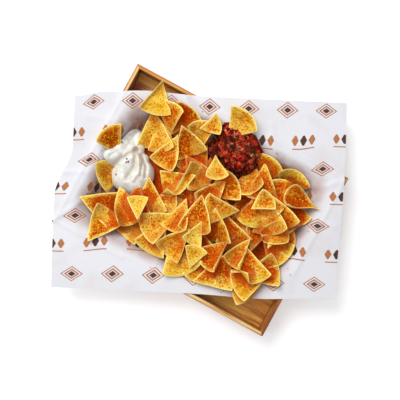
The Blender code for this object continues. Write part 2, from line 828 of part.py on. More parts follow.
def make_chips():
    corn = material("corn_chip", (0.72, 0.38, 0.07), 0.65)
    ground, pile = fresh_maps()
    draw = random.Random(SHAPE_SEED)
    for name, (*row, size) in LONE_CHIPS.items():
        points, upper = lay_chip(row, ground, pile, draw, LONE_CHIP_ROWS, APART, 0.0, size)
        chip = new_object(name, points, chip_faces(LONE_CHIP_ROWS), corn, 40)
        trim_round_toppings(chip)
        ground.cover(upper)
    layers = [(row, SETTLED) for row in LOW_CHIPS]
    layers += [(row, SETTLED, MIDDLE_FOLDED) for row in MIDDLE_CHIPS]
    layers += [(row, SETTLED, TOP_FOLDED) for row in TOP_CHIPS]
    layers += [(row, STEEP) for row in STEEP_CHIPS]
    layers += [(row, SETTLED, 0.0, SMALL_CHIP) for row in SMALL_CHIPS]
    pieces = []
    for number, (row, *how) in enumerate(layers):
        points, upper = lay_chip(row, ground, pile, draw, CHIP_ROWS, *how)
        pile.cover(upper)
        pieces.append(new_object(f"fused_{number}", points, chip_faces(CHIP_ROWS), corn))
    heap = make_core(corn)
    join(heap, pieces, "UNION")
    trim_round_toppings(heap)


def main():
    for old in list(bpy.data.objects):
        bpy.data.objects.remove(old)
    make_tray()
    make_paper()
    make_salsa()
    make_cream()
    make_chips()


main()
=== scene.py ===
import copy
import itertools
import math
import random
from functools import partialmethod

import bmesh
import bpy
import numpy as np
from mathutils import Matrix, Vector, noise


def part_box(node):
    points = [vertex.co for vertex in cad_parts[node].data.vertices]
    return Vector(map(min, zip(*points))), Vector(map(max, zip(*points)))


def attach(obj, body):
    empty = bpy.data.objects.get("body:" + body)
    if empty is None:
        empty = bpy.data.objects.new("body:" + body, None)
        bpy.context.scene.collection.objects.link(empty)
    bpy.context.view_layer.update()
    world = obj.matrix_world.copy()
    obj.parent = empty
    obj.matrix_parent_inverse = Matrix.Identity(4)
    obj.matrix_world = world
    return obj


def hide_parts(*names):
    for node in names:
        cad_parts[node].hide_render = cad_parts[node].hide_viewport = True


# Tray of tortilla chips with salsa and sour cream. Sizes are in millimetres,
# +X along the tray, +Y towards the wall behind the salsa, +Z up.

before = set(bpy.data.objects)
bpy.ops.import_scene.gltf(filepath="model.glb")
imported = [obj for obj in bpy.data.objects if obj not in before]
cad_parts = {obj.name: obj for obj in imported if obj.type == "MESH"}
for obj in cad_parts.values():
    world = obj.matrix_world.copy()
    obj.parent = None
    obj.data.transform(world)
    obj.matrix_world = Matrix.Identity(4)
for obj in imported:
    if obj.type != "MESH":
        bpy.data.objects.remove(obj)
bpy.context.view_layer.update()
mm = 0.001
body = "root"


# Helpers for shapes and materials

def smoothStep(t):
    t = np.clip(t, 0.0, 1.0)
    return t * t * (3 - 2 * t)


def fromPath(x, y, path):  # distance from a line through a few points
    nearest = np.full(np.shape(x), np.inf)
    for (startX, startY), (endX, endY) in zip(path, path[1:]):
        runX, runY = endX - startX, endY - startY
        share = np.clip(((x - startX) * runX + (y - startY) * runY) / (runX**2 + runY**2), 0, 1)
        nearest = np.minimum(nearest, np.hypot(x - startX - share * runX, y - startY - share * runY))
    return nearest


def ridges(x, y, rows):  # each by its width, height and course
    return sum(high * np.exp(-((fromPath(x, y, path) / width) ** 2)) for width, high, *path in rows)


def direction(degrees):
    return math.cos(math.radians(degrees)), math.sin(math.radians(degrees))


def onHeading(middle, angle, reach):
    return middle[0] + reach * math.cos(angle), middle[1] + reach * math.sin(angle)


def nodeBox(node):
    return [[round(c / mm, 3) for c in corner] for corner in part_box(node)]


def tone(red, green, blue):  # a colour as seen on a screen, made linear
    return (*[((c / 255 + 0.055) / 1.055) ** 2.4 if c > 10 else c / 3295 for c in (red, green, blue)], 1.0)


def newObject(name, data):
    thing = bpy.data.objects.new(name, data)
    bpy.context.scene.collection.objects.link(thing)
    return thing


def newPiece(name, points, faces, finish, node=None, angle=60):
    mesh = bpy.data.meshes.new(name)
    mesh.from_pydata((np.asarray(points) * mm).tolist(), [], faces)
    mesh.materials.append(finish)
    mesh.validate()
    mesh.shade_smooth()
    mesh.set_sharp_from_angle(angle=math.radians(angle))
    piece = newObject(name, mesh)
    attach(piece, body)
    if node:
        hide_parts(node)
    return piece


def setPointValues(piece, **fields):
    for name, values in fields.items():
        field = piece.data.attributes.new(name, "FLOAT", "POINT")
        field.data.foreach_set("value", np.full(len(piece.data.vertices), values, np.float32))


def closedFaces(top, rim, count):  # a top, the same turned over lying count points on, and a belt
    under = [tuple(i + count for i in reversed(face)) for face in top]
    return top + under + [(b, a, a + count, b + count) for a, b in zip(rim, rim[1:] + rim[:1])]


class Joined:  # collects many small shapes into one mesh
    def __init__(self, *fields):
        self.points, self.faces, self.count = [], [], 0
        self.fields = {name: [] for name in fields}

    def add(self, points, faces, *values):
        self.points.append(points)
        self.faces += [tuple(i + self.count for i in face) for face in faces]
        self.count += len(points)
        for field, value in zip(self.fields.values(), values):
            field.append(np.broadcast_to(value, len(points)))

    def make(self, name, finish, slot, node=None):
        piece = newPiece(name, np.concatenate(self.points), self.faces, finish, node)
        setPointValues(piece, **{field: np.concatenate(values) for field, values in self.fields.items()})
        print(f"{name}: {len(piece.data.polygons)} faces")
        return piece


class Value:  # a number inside a material, so that sums can be written as sums
    def __init__(self, tree, socket):
        self.tree, self.socket = tree, socket

    def math(self, operation, *others):
        node = self.tree.nodes.new("ShaderNodeMath")
        node.operation = operation
        for slot, other in zip(node.inputs, (self, *others)):
            if isinstance(other, Value):
                self.tree.links.new(other.socket, slot)
            else:
                slot.default_value = other
        return Value(self.tree, node.outputs[0])

    __add__ = partialmethod(math, "ADD")
    __sub__ = partialmethod(math, "SUBTRACT")
    __mul__ = partialmethod(math, "MULTIPLY")
    __truediv__ = partialmethod(math, "DIVIDE")
    __abs__ = partialmethod(math, "ABSOLUTE")
    fraction = partialmethod(math, "FRACT")
    whole = partialmethod(math, "FLOOR")
    least = partialmethod(math, "MINIMUM")
    most = partialmethod(math, "MAXIMUM")

    def between(self, low, high, toLow=0.0, toHigh=1.0):  # soft step from low to high
        node = self.tree.nodes.new("ShaderNodeMapRange")
        node.interpolation_type = "SMOOTHSTEP"
        self.tree.links.new(self.socket, node.inputs["Value"])
        for name, value in (("From Min", low), ("From Max", high), ("To Min", toLow), ("To Max", toHigh)):
            node.inputs[name].default_value = value
        return Value(self.tree, node.outputs[0])

    def below(self, edge, blur):
        return self.between(edge - blur, edge + blur, 1.0, 0.0)


class Finish:  # one material with the textures that its colour and relief are made of
    def __init__(self, name, **settings):
        self.material = bpy.data.materials.new(name)
        self.material.use_nodes = True
        self.tree = self.material.node_tree
        self.shader = self.tree.nodes["Principled BSDF"]
        for key, value in settings.items():
            self.shader.inputs[key.replace("_", " ")].default_value = value
        self.place = self.tree.nodes.new("ShaderNodeTexCoord").outputs["Object"]

    def stretched(self, scale):
        node = self.tree.nodes.new("ShaderNodeMapping")
        self.tree.links.new(self.place, node.inputs["Vector"])
        node.inputs["Scale"].default_value = scale
        return node.outputs[0]

    def texture(self, kind, output, place, size, **settings):  # size of a patch in mm
        node = self.tree.nodes.new(kind)
        self.tree.links.new(place or self.place, node.inputs["Vector"])
        for key, value in {"Scale": 1 / (size * mm), **settings}.items():
            node.inputs[key].default_value = value
        return Value(self.tree, node.outputs[output])

    def noise(self, size, detail=3.0, rough=0.5, place=None, warp=0.0):
        settings = {"Detail": detail, "Roughness": rough, "Distortion": warp}
        return self.texture("ShaderNodeTexNoise", 0, place, size, **settings)

    def cells(self, size):
        return self.texture("ShaderNodeTexVoronoi", "Distance", None, size)

    def field(self, name):
        node = self.tree.nodes.new("ShaderNodeAttribute")
        node.attribute_name = name
        return Value(self.tree, node.outputs["Fac"])

    def mix(self, share, first, second):
        node = self.tree.nodes.new("ShaderNodeMix")
        node.data_type = "RGBA"
        self.tree.links.new(share.socket, node.inputs[0])
        for slot, value in zip(node.inputs[6:8], (first, second)):
            if isinstance(value, bpy.types.NodeSocket):
                self.tree.links.new(value, slot)
            else:
                slot.default_value = value
        return node.outputs[2]

    def paint(self, colour, *layers):  # a ground, then layers over it, each a share and a shade
        for share, shade in layers:
            colour = self.mix(share, colour, shade)
        self.tree.links.new(colour, self.shader.inputs["Base Color"])

    def rough(self, value):
        self.tree.links.new(value.socket, self.shader.inputs["Roughness"])

    def relief(self, height, depth):  # depth in mm
        node = self.tree.nodes.new("ShaderNodeBump")
        node.inputs["Distance"].default_value = depth * mm
        self.tree.links.new(height.socket, node.inputs["Height"])
        self.tree.links.new(node.outputs[0], self.shader.inputs["Normal"])


# Tray

backLow, backHigh = nodeBox("tray_wall_back")
tray = {
    "halfLength": backHigh[0],
    "halfWidth": backHigh[1],
    "height": backHigh[2],
    "wall": round(backHigh[1] - backLow[1], 3),
    "floor": nodeBox("tray_floor")[1][2],
    "rounding": 1.6,
    "footRounding": 0.5,
    "mitreGap": 0.3,
    "lightWood": tone(220, 164, 82),
    "paleWood": tone(238, 198, 134),
    "wood": tone(196, 124, 38),
    "darkWood": tone(140, 68, 10),
    "edgeShadeFrom": 3.6,  # from here outwards the rim is darkened, a painted shade on its rounded outer edge
    "floorLight": tone(255, 200, 92),
    "floorWood": tone(248, 154, 36),
    "floorDark": tone(180, 84, 8),
}
innerX = tray["halfLength"] - tray["wall"]
innerY = tray["halfWidth"] - tray["wall"]


def woodFinish(name, light, middle, dark, grain):
    wood = Finish(name, Roughness=0.42, Specular_IOR_Level=0.35)
    along = wood.stretched(grain)
    strips = wood.noise(4.2, 2.0, 0.6, along)
    fibres = wood.noise(1.5, 3.0, 0.7, along)
    broad = wood.noise(16.0, 1.0, 0.5, along, warp=0.4)
    # painted shade darkening the rim's rounded outer edge
    edge = wood.field("outward").between(tray["edgeShadeFrom"], tray["wall"], 0.0, 0.75)
    wood.paint(middle, (strips.between(0.36, 0.64), light), ((broad + fibres * 0.5).between(0.7, 0.92), dark),
               (fibres.between(0.56, 0.7, 0.0, 0.7), dark), (edge, dark))
    wood.rough(strips.between(0.2, 0.8, 0.36, 0.52))
    wood.relief(fibres + strips * 0.5, 0.12)
    return wood.material


def wallSection():
    edge, foot, wall, top = tray["rounding"], tray["footRounding"], tray["wall"], tray["height"]
    corners = ((foot, foot, foot, 180, 2), (wall - foot, foot, foot, 270, 2),
               (wall - edge, top - edge, edge, 0, 6), (edge, top - edge, edge, 90, 6))
    return [onHeading((x, z), math.radians(start + 90 * step / steps), radius)
            for x, z, radius, start, steps in corners for step in range(steps + 1)]


def makeWall(name, node, halfLength, distance, turn, finish):
    section = wallSection()
    count, ends = len(section), (-1, -0.5, 0, 0.5, 1)
    points = [(end * (halfLength + out - tray["mitreGap"] / 2), distance + out, z)
              for end in ends for out, z in section]
    last = (len(ends) - 1) * count
    faces = [tuple(range(count)), tuple(reversed(range(last, last + count)))]
    for start, i in itertools.product(range(0, last, count), range(count)):
        a, b = start + i, start + (i + 1) % count
        faces.append((a, a + count, b + count, b))
    matrix = np.array(Matrix.Rotation(math.radians(turn), 3, "Z"))
    wall = newPiece(name, np.array(points) @ matrix.T, faces, finish, node, 50)
    setPointValues(wall, outward=[out for _ in ends for out, _ in section])


def makeTray():
    alongX, alongY = (0.05, 1.0, 1.0), (1.0, 0.05, 1.0)  # grain drawn out along one axis
    rim, paleRim = ([tray[light], tray["wood"], tray["darkWood"]] for light in ("lightWood", "paleWood"))
    walls = (("wallBehind", "tray_wall_back", innerX, innerY, 0, rim, alongX),
             ("wallLeft", "tray_wall_left", innerY, innerX, 90, paleRim, alongY),
             ("wallFront", "tray_wall_front", innerX, innerY, 180, paleRim, alongX),
             ("wallRight", "tray_wall_right", innerY, innerX, 270, rim, alongY))
    for name, *wall, tones, grain in walls:
        makeWall(name, *wall, woodFinish(name + "Wood", *tones, grain))
    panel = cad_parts["tray_floor"]
    panel.data.materials.clear()
    panel.data.materials.append(
        woodFinish("floorWood", tray["floorLight"], tray["floorWood"], tray["floorDark"], alongX))
    print("tray: four walls and a floor")


# Paper liner

paper = {
    "turn": 26.2,  # against the tray, degrees
    "right": 214.5,
    "left": 218.0,
    "top": 154.5,
    "bottom": -140.0,
    "leftStep": (25.0, 0.0, 80.0),  # how far the left edge draws in, and over which stretch
    "rightStep": (6.5, 60.0, -140.0),
    "topStep": (7.0, -150.0, -190.0),
    "topBow": (5.5, -85.0, 55.0),
    "bottomBow": (4.0, 90.0, 60.0),
    "rimHeight": tray["height"] + 2.0,
    "floorHeight": tray["floor"] + 0.9,
    "dipStart": 4.0,
    "dipRun": 54.0,
    "edgeRun": 62.0,
    "edgeDip": 0.14,
    "flapStart": 5.0,
    "leftRise": 7.0,  # degrees
    "leftRiseBend": 6.0,
    "leftRiseFrom": -95.0,
    "leftRiseRun": 70.0,
    "rightBend": 0.0022,
    "rightBendFrom": -20.0,
    "rightBendRun": 80.0,
    "backBend": 0.0007,
    "frontBend": 0.0010,
    "lowest": 5.0,
    "thickness": 0.25,
    "net": (210, 150),
    "flat": (450.0, 320.0),
    # width, height and course of a ridge, or of a dent where the height is negative
    "creases": (
        (3.2, 0.9, (-176, -126), (-176, 116)),
        (3.2, 0.9, (-150, 131), (178, 131)),
        (3.2, 0.9, (176, -30), (176, 129)),
        (3.2, 0.9, (-177, -131), (-60, -131)),
        (4.0, 1.4, (-178, -131), (-160, -96), (-150, -70)),
        (4.5, 1.1, (178, 131), (150, 104), (128, 90)),
        (4.0, -1.2, (-119, 120), (-104, 114)),
        (5.0, -1.4, (-84, 125), (-64, 117)),
        (4.0, 1.0, (-96, 126), (-74, 108)),
        (5.0, 0.9, (40, 150), (66, 112)),
        (5.0, -1.0, (-140, -110), (-118, -84)),
        (4.0, 0.9, (-198, -60), (-168, -44)),
        (5.0, 0.8, (-206, 30), (-168, 44)),
        (4.0, 0.8, (196, 60), (150, 52)),
    ),
    "white": tone(224, 224, 229),
    "shade": tone(214, 204, 202),
    "warmShade": tone(170, 132, 120),  # painted shade on the paper's inner slopes beside the walls, warmed where the wood shows through
    "warmShadeSpread": 0.65,
    "ochre": tone(176, 108, 56),
    "brown": tone(74, 42, 30),
    "pitch": (64.0, 47.0),  # from motif to motif and from row to row
    "diamond": (18.0, 12.5),  # half its width and height
    "rings": 2.6,
    "flagPitch": 13.0,
    "flagHalf": 5.4,
    "flagSlope": 0.55,
    "flagLift": 2.0,
    "flagHeight": 7.5,
    "flagRow": 19.0,
    "line": (17.0, 0.9, -10.5),  # half its length and width, and its height in the row
}
turnCos, turnSin = direction(paper["turn"])


def paperHeight(x, y):
    p = paper
    dip = smoothStep((innerX - abs(x) - p["dipStart"]) / p["dipRun"])
    dip = dip * smoothStep((innerY - abs(y) - p["dipStart"]) / p["dipRun"])
    q = y * turnCos - x * turnSin
    fromEdge = np.minimum(p["top"] - q, q - p["bottom"])
    dip = dip * (p["edgeDip"] + (1 - p["edgeDip"]) * smoothStep(fromEdge / p["edgeRun"]))
    z = p["rimHeight"] - (p["rimHeight"] - p["floorHeight"]) * dip
    end, side = tray["halfLength"] + p["flapStart"], tray["halfWidth"] + p["flapStart"]
    leftOut = np.maximum(-x - end, 0.0)
    slope = math.tan(math.radians(p["leftRise"])) * smoothStep((y - p["leftRiseFrom"]) / p["leftRiseRun"])
    z = z + slope * leftOut**2 / (leftOut + p["leftRiseBend"])
    rightShare = smoothStep((y - p["rightBendFrom"]) / p["rightBendRun"])
    z = z - p["rightBend"] * rightShare * np.maximum(x - end, 0.0) ** 2
    z = z - p["backBend"] * np.maximum(y - side, 0.0) ** 2
    z = z - p["frontBend"] * np.maximum(-y - side, 0.0) ** 2
    return np.maximum(z, p["lowest"])


def drawnIn(along, step):
    depth, start, end = step
    return depth * smoothStep((along - start) / (end - start))


def bowed(along, bow):
    depth, middle, width = bow
    return depth * np.exp(-(((along - middle) / width) ** 2))


def paperPlace(u, v):
    q = paper["bottom"] + (paper["top"] - paper["bottom"]) * v
    left = drawnIn(q, paper["leftStep"]) - paper["left"]
    p = left + (paper["right"] - drawnIn(q, paper["rightStep"]) - left) * u
    top = paper["top"] - drawnIn(p, paper["topStep"]) + bowed(p, paper["topBow"])
    q = paper["bottom"] - bowed(p, paper["bottomBow"])
    q = q + (top - q) * v
    return p * turnCos - q * turnSin, p * turnSin + q * turnCos


def paperFinish():
    sheet = Finish("printedPaper", Roughness=0.55, Specular_IOR_Level=0.3)
    uv = sheet.tree.nodes.new("ShaderNodeUVMap")
    uv.uv_map = "sheet"
    split = sheet.tree.nodes.new("ShaderNodeSeparateXYZ")
    sheet.tree.links.new(uv.outputs[0], split.inputs[0])
    u, v = (Value(sheet.tree, output) for output in split.outputs[:2])
    pitchX, pitchY = paper["pitch"]
    odd = ((v / pitchY).whole() * 0.5).fraction() * 2  # 1 in every other row
    x = ((u / pitchX + odd * 0.5).fraction() - 0.5) * pitchX
    y = ((v / pitchY).fraction() - 0.5) * pitchY
    diamond = abs(x) / paper["diamond"][0] + abs(y) / paper["diamond"][1]
    diamonds = abs((diamond * paper["rings"]).fraction() - 0.5).below(0.27, 0.05) * diamond.below(1.0, 0.02)
    middle = diamond.below(0.36, 0.03)
    pitch, up = paper["flagPitch"], abs(y - paper["flagLift"])
    flagX = abs((x / pitch + 0.5).fraction() - 0.5) * pitch
    flags = (flagX + up * paper["flagSlope"] - paper["flagHalf"]).below(0.0, 0.35)
    flags = flags * abs(x).below(paper["flagRow"], 0.3) * up.below(paper["flagHeight"], 0.3)
    length, width, height = paper["line"]
    line = abs(y - height).below(width, 0.25) * abs(x).below(length, 0.3)
    evenRow, oddRow = odd.between(0.4, 0.6, 1.0, 0.0), odd.between(0.4, 0.6)
    worn = sheet.noise(1.6, 2.0).between(0.25, 0.5, 0.85, 1.0)
    ochre = (diamonds * evenRow + flags.most(line) * oddRow).least(1.0) * worn
    brown = (middle * evenRow + flags * abs(x).below(pitch / 2, 0.2) * oddRow).least(1.0) * worn
    clouds, fibres = sheet.noise(38.0), sheet.noise(1.2)
    # painted shade halfway down the inside of the walls, partly the wood showing through the paper
    slopeShade = sheet.field("slope") * sheet.noise(24.0, 2.0).between(0.3, 0.65, 0.35, 1.0)
    sheet.paint(paper["white"], (clouds.between(0.45, 0.8, 0.0, 0.45), paper["shade"]),
                (slopeShade, paper["warmShade"]), (ochre, paper["ochre"]), (brown, paper["brown"]))
    sheet.rough(clouds.between(0.2, 0.8, 0.5, 0.66))
    sheet.relief(fibres * 0.3 + clouds, 0.25)
    return sheet.material


def innerSlope(x, y, z):  # where the painted shade lies: 1 halfway down the inside of a wall, 0 on the rim and on the floor
    sunk = np.clip((paper["rimHeight"] - z) / (paper["rimHeight"] - paper["floorHeight"]), 0, 1)
    within = (abs(x) < innerX) & (abs(y) < innerY)
    return (4 * sunk * (1 - sunk)) ** paper["warmShadeSpread"] * within


def sheetFaces(across, up):
    row = across + 1
    top = [(a, a + 1, a + row + 1, a + row) for j in range(up) for a in range(j * row, j * row + across)]
    rim = list(range(across)) + [j * row + across for j in range(up)]
    rim += [up * row + i for i in range(across, 0, -1)] + [j * row for j in range(up, 0, -1)]
    return closedFaces(top, rim, row * (up + 1))


def makePaper():
    across, up = paper["net"]
    u, v = np.meshgrid(np.linspace(0, 1, across + 1), np.linspace(0, 1, up + 1))
    x, y = paperPlace(u, v)
    z = paperHeight(x, y) + ridges(x, y, paper["creases"])
    net = np.stack([x, y, z], axis=-1)
    normal = np.cross(np.gradient(net, axis=1), np.gradient(net, axis=0))
    normal /= np.linalg.norm(normal, axis=-1)[..., None]
    points = np.concatenate([net.reshape(-1, 3), (net - paper["thickness"] * normal).reshape(-1, 3)])
    piece = newPiece("paperLiner", points, sheetFaces(across, up), paperFinish(),
                     "paper_liner", 70)
    setPointValues(piece, slope=np.tile(innerSlope(x, y, z).ravel(), 2))
    along, upwards = np.zeros_like(x), np.zeros_like(x)  # places on the flat sheet, for the print
    along[:, 1:] = np.cumsum(np.linalg.norm(np.diff(net, axis=1), axis=-1), axis=1)
    upwards[1:, :] = np.cumsum(np.linalg.norm(np.diff(net, axis=0), axis=-1), axis=0)
    along *= paper["flat"][0] / along[:, -1:]
    upwards *= paper["flat"][1] / upwards[-1:, :]
    flat = np.tile(np.stack([along.ravel(), upwards.ravel()], axis=1), (2, 1))
    layer = piece.data.uv_layers.new(name="sheet")
    corners = np.zeros(len(piece.data.loops), np.int32)
    piece.data.loops.foreach_get("vertex_index", corners)
    layer.data.foreach_set("uv", flat[corners].astype(np.float32).ravel())
    width, length = (size * mm for size in paper["flat"])
    print("paper: sheet over the rim on all sides")


# What the chips lie on

core = {
    "middle": (2.0, -8.0),
    "reach": (134.0, 97.0),
    "edge": 15.0,
    "peak": 37.0,
    "squareness": 2.6,
    "fall": 2.2,
    "foot": 23.0,
    "net": (40, 120),
    "inset": 4.0,  # from where the paper rises
    "sunk": 6.0,  # how far the shown core lies under the chips' own
}
bedEnd = 1.35  # where the dips for salsa and cream end, in their own reaches
toppingGap, toppingEdge, thinnest = 1.4, 2.0, 1.2  # under a topping, at its rim, and its least height
slopeReach, clearance = 5.0, 1.8


def radialReach(x, y, middle, reach, squareness=2.0):  # 0 in the middle, 1 on the outline
    dx, dy = abs(x - middle[0]) / reach[0], abs(y - middle[1]) / reach[1]
    return (dx**squareness + dy**squareness) ** (1 / squareness)


def coreReach(x, y):
    return radialReach(x, y, core["middle"], core["reach"], core["squareness"])


def coreHeight(x, y):
    r = coreReach(x, y)
    z = core["edge"] + (core["peak"] - core["edge"]) * (1 - np.clip(r, 0, 1) ** core["fall"])
    for dip in (salsa, cream):
        bed = smoothStep((bedEnd - radialReach(x, y, dip["middle"], dip["bedReach"])) / dip["bedBlend"])
        z = z + (np.minimum(z, dip["bed"]) - z) * bed
    return z


def clearOf(height, x, y):  # the highest within a few millimetres
    along = slopeReach * np.array([0.0, 1.0, 0.7, 0.0, -0.7, -1.0, -0.7, 0.0, 0.7])
    side = slopeReach * np.array([0.0, 0.0, 0.7, 1.0, 0.7, 0.0, -0.7, -1.0, -0.7])
    return np.max([height(x + a, y + b) for a, b in zip(along, side)], axis=0)


def toppingBed(x, y):
    return np.maximum(clearOf(coreHeight, x, y), clearOf(paperHeight, x, y)) + toppingGap


def furtherOut(angle, tongues):
    reach = 0.0
    for towards, further, width in tongues:
        off = (math.degrees(angle) - towards + 180) % 360 - 180
        reach += further * math.exp(-((off / width) ** 2))
    return reach


def moundNet(middle, outline, height, bottom, net):
    rings, spokes = net
    angles = 2 * math.pi * np.arange(spokes) / spokes
    reach = np.array([outline(angle) for angle in angles])
    shares = np.sin(0.5 * math.pi * np.arange(1, rings + 1) / rings)
    x = middle[0] + np.concatenate([[0], (shares[:, None] * reach * np.cos(angles)).ravel()])
    y = middle[1] + np.concatenate([[0], (shares[:, None] * reach * np.sin(angles)).ravel()])
    r = np.concatenate([[0], np.repeat(shares, spokes)])
    low = bottom(x, y)
    high = np.maximum(height(x, y, r), low + thinnest)
    points = np.concatenate([np.stack([x, y, high], 1), np.stack([x, y, low], 1)])
    top = []
    for k in range(spokes):
        after = (k + 1) % spokes
        top.append((0, 1 + k, 1 + after))
        for start in range(1, 1 + (rings - 1) * spokes, spokes):
            top.append((start + k, start + spokes + k, start + spokes + after, start + after))
    return points, closedFaces(top, [1 + (rings - 1) * spokes + k for k in range(spokes)], len(x))


# Tortilla chips

chip = {
    "seed": 31,
    "radius": 58.0,
    "radiusSpread": (0.92, 1.07),
    "angleSpread": (0.86, 1.12),
    "curl": 1.25,  # times the curl in the tables
    "archSpread": (-3.0, 6.0),
    "twistSpread": (-5.0, 5.0),
    "foldWays": {180: 0.62, 62: 0.56, -62: 0.56, 120: 0.31, -120: 0.31},  # heading, reach
    "foldFrom": (0.3, 0.75),
    "foldBend": 6.0,
    "foldTurn": (60.0, 130.0),
    "tiltSteps": (8.0, 3.0, 1.2),  # a chip tips by these as it settles
    "tiltCost": 0.006,
    "steepest": 32.0,
    "solidThickness": 2.0,  # as laid
    "thickness": 1.6,
    "middle": 0.62,
    "rows": 26,
    "laidRows": 36,
    "bedSize": 0.9,
    "bedStep": 33.0,
    "bedX": (-130, 150),
    "bedY": (-95, 110),
    "bedWithin": 0.86,  # of the core's reach
    "bedOffSalsa": 1.5,  # times its reach
    "bedOffCream": 62.0,
    "bedShift": 0.3,  # of a step
    "bedTilt": (5, 8),
    "bedCurl": (2, 8),
    "bedDust": (0.9, 1.2),
    "bedSeed": 19,
    # share of a chip and millimetres that may sink into others, and whether it tips
    "settled": (0.08, 4.0, True),
    "steep": (0.4, math.inf, False),
    "apart": (0.0, 0.0, False),
    "blister": 0.95,
    "blisterSize": 5.2,
    "blisterRise": (0.12, 0.35),  # where in the noise it starts, and over how much of it
    "blisterEdge": 2.5,
    "wave": 1.7,
    "waveSize": 21,
    "dustLean": (1.2, 0.6, 0.55),  # seasoning to one side: strength, in the middle, rise
    "dustRound": (0.8, 0.1),  # or round a spot: how fast it thins, and where the spot is
    "dustEdge": (0.55, 0.45, 6.0),  # left at the edge, gained inwards, over how many mm
    "dustBelow": 0.35,
    "ragged": 0.012,
    "raggedSize": 4.0,
    "thinRim": 0.55,  # of the thickness
    "rimRun": 1.6,
    "rimRounding": 0.45,
    "pale": tone(248, 220, 108),
    "yellow": tone(212, 160, 14),
    "freckle": tone(234, 186, 34),
    "orange": tone(208, 84, 0),
    "deep": tone(156, 44, 0),
    "gap": tone(190, 56, 0),  # painted shade on what lies deep among other chips
    "gaps": (4, 3.0, 20.0),  # reach in steps of the height map, start and depth of the painted shade
    "spot": tone(96, 28, 0),
    # the pale line at the rim: partly the chip's own pale edge, partly a painted highlight
    "rim": tone(255, 228, 132),
}
# A chip that shows: x and y, heading of its round side, lift of that side, lift of its
# left side (degrees), curl of its long edges, and seasoning from 0 to 1. Where that isn't
# thickest in the middle, the direction in which it is follows.
lowChips = (
    (-80, 65, 60, 0, 0, 5, 0.6),
    (-10, 22, 90, 0, 0, 7, 0.8),
    (62, 3, -90, 0, 0, 9, 0.7, 100),
    (112, -22, 0, 0, 0, 7, 0.7),
    (40, -28, -55, 0, 0, 5, 0.8),
    (-18, -8, -20, 0, 0, 9, 0.8, 60),
    (-70, -50, -90, 0, 0, 7, 0.8),
    (30, -48, -120, 0, 0, 5, 0.8),
    (-46, -35, 5, 0, 0, 7, 0.7, 150),
    (20, -60, -50, 0, 0, 9, 0.8),
    (138, 6, 30, 0, 0, 5, 0.6, 200),
    (-78, -82, 20, -6, 0, 5, 0.15),
    (131, 48, -60, 0, 0, 7, 0.95),
    (53, -90, -80, 0, 0, 5, 0.6, 110),
    (-100, 72, 190, 0, 0, 5, 0.7),
    (97, 2, 100, 0, 0, 7, 0.7),
)
middleChips = (
    (-79, 96, 75, 8, 0, 5, 0.85, 120),
    (-45, 88, 113, 0, 6, 9, 0.35, 118),
    (-107, 55, -55, 0, 10, 9, 0.5, 0),
    (-32, -86, -95, -4, 0, 7, 0.5, 120),
    (-67, -38, -62, 0, 0, 7, 0.5, 150),
    (63, 86, 90, 4, 0, 11, 0.45),
    (107, 88, 83, 4, 0, 9, 0.35, 270),
    (137, -12, -20, 0, 0, 7, 0.6, 200),
    (16, -93, -44, -4, 0, 7, 0.4, 120),
    (118, -82, -17, -6, 0, 7, 0.35, 150),
    (76, -86, 42, -4, 6, 9, 0.8, 120),
    (0, 45, -60, -6, 0, 7, 0.6),
    (24, 34, 51, 0, 0, 11, 0.85),
    (123, 22, 90, -8, 0, 9, 0.15),
    (66, -25, -45, 0, 8, 7, 0.6, 100),
    (136, -48, 42, 0, 0, 11, 0.65),
    (84, 44, 70, 6, 12, 9, 0.6, 250),
    (-54, 65, -40, 4, 0, 11, 0.75, 190),
    (-81, -55, -70, 0, 8, 7, 0.6, 60),
    (-128, 99, -76, -6, 0, 6, 0.05),
    (-124, -78, 5, 0, 0, 9, 0.8),
    (-112, -98, 82, -22, 0, 13, 0.6, 300),
)
topChips = (
    (-22, 32, -30, 0, 8, 13, 0.55, 120),
    (80, 22, -80, 0, 0, -11, 0.75, 118),
    (-45, 3, -129, 0, 0, 9, 0.45, 60),
    (11, 14, -105, 4, 0, 13, 0.55, 118),
    (30, 0, -155, 6, -8, 9, 0.5, 118),
    (104, 66, 106, 6, -14, -13, 0.85, 208),
    (72, 63, -69, 6, 12, -9, 0.9),
    (-75, 36, -89, 0, 0, 14, 0.6),
    (118, -70, -134, 0, 6, 9, 0.6, 118),
    (129, 70, 183, 0, 0, 20, 0.85),
    (10, -27, -70, 4, 0, 13, 0.75, 118),
    (-41, -64, -126, 4, 8, 11, 0.4),
    (-1, -77, -105, 2, 0, 13, 0.4),
    (115, -54, -50, 8, 10, 9, 0.6, 150),
    (57, -62, -109, 8, 16, 13, 0.75, 208),
    (119, 8, 40, 6, 0, 23, 0.25),
    (90, -43, -100, 6, 0, 18, 0.5),
    (-90, -66, -45, 4, 0, 22, 0.5),
)
steepChips = (
    (-100, 90, 112, 0, -38, 5, 0.6),
    (-97, 53, -55, 0, 42, 5, 0.3),
    (-25, 24, 70, 10, 48, 7, 0.4),
    (52, 60, -70, 0, 44, 7, 0.5),
    (115, 36, -35, 0, 46, 5, 0.6),
    (105, 23, -48, 0, 40, 5, 0.4),
    (44, -27, -56, 0, 48, 5, 0.5),
    (-15, -40, -80, 0, 46, 7, 0.5),
)
smallChips = (
    (-36, 106, 40, 4, 0, 4, 0.5),
    (18, -50, -90, 10, 0, 5, 0.2),
    (31, -75, 100, 8, 6, 4, 0.3),
    (84, 44, 60, 8, 0, 5, 0.5),
    (0, 50, -60, 8, 0, 6, 0.4),
    (-78, -50, 119, 6, 0, 5, 0.1),
)
loneChips = {  # with its size at the end
    "chip_at_left_wall": (-159, 16, 145, 10, 0, 5, 0.9, 1.0),
    "chip_behind_salsa": (-1, 129, 76, 20, 0, 8, 0.4, 1.0),
    "chip_under_cream": (-138, -26, -120, 0, 0, 3, 0.45, 1.2),
}
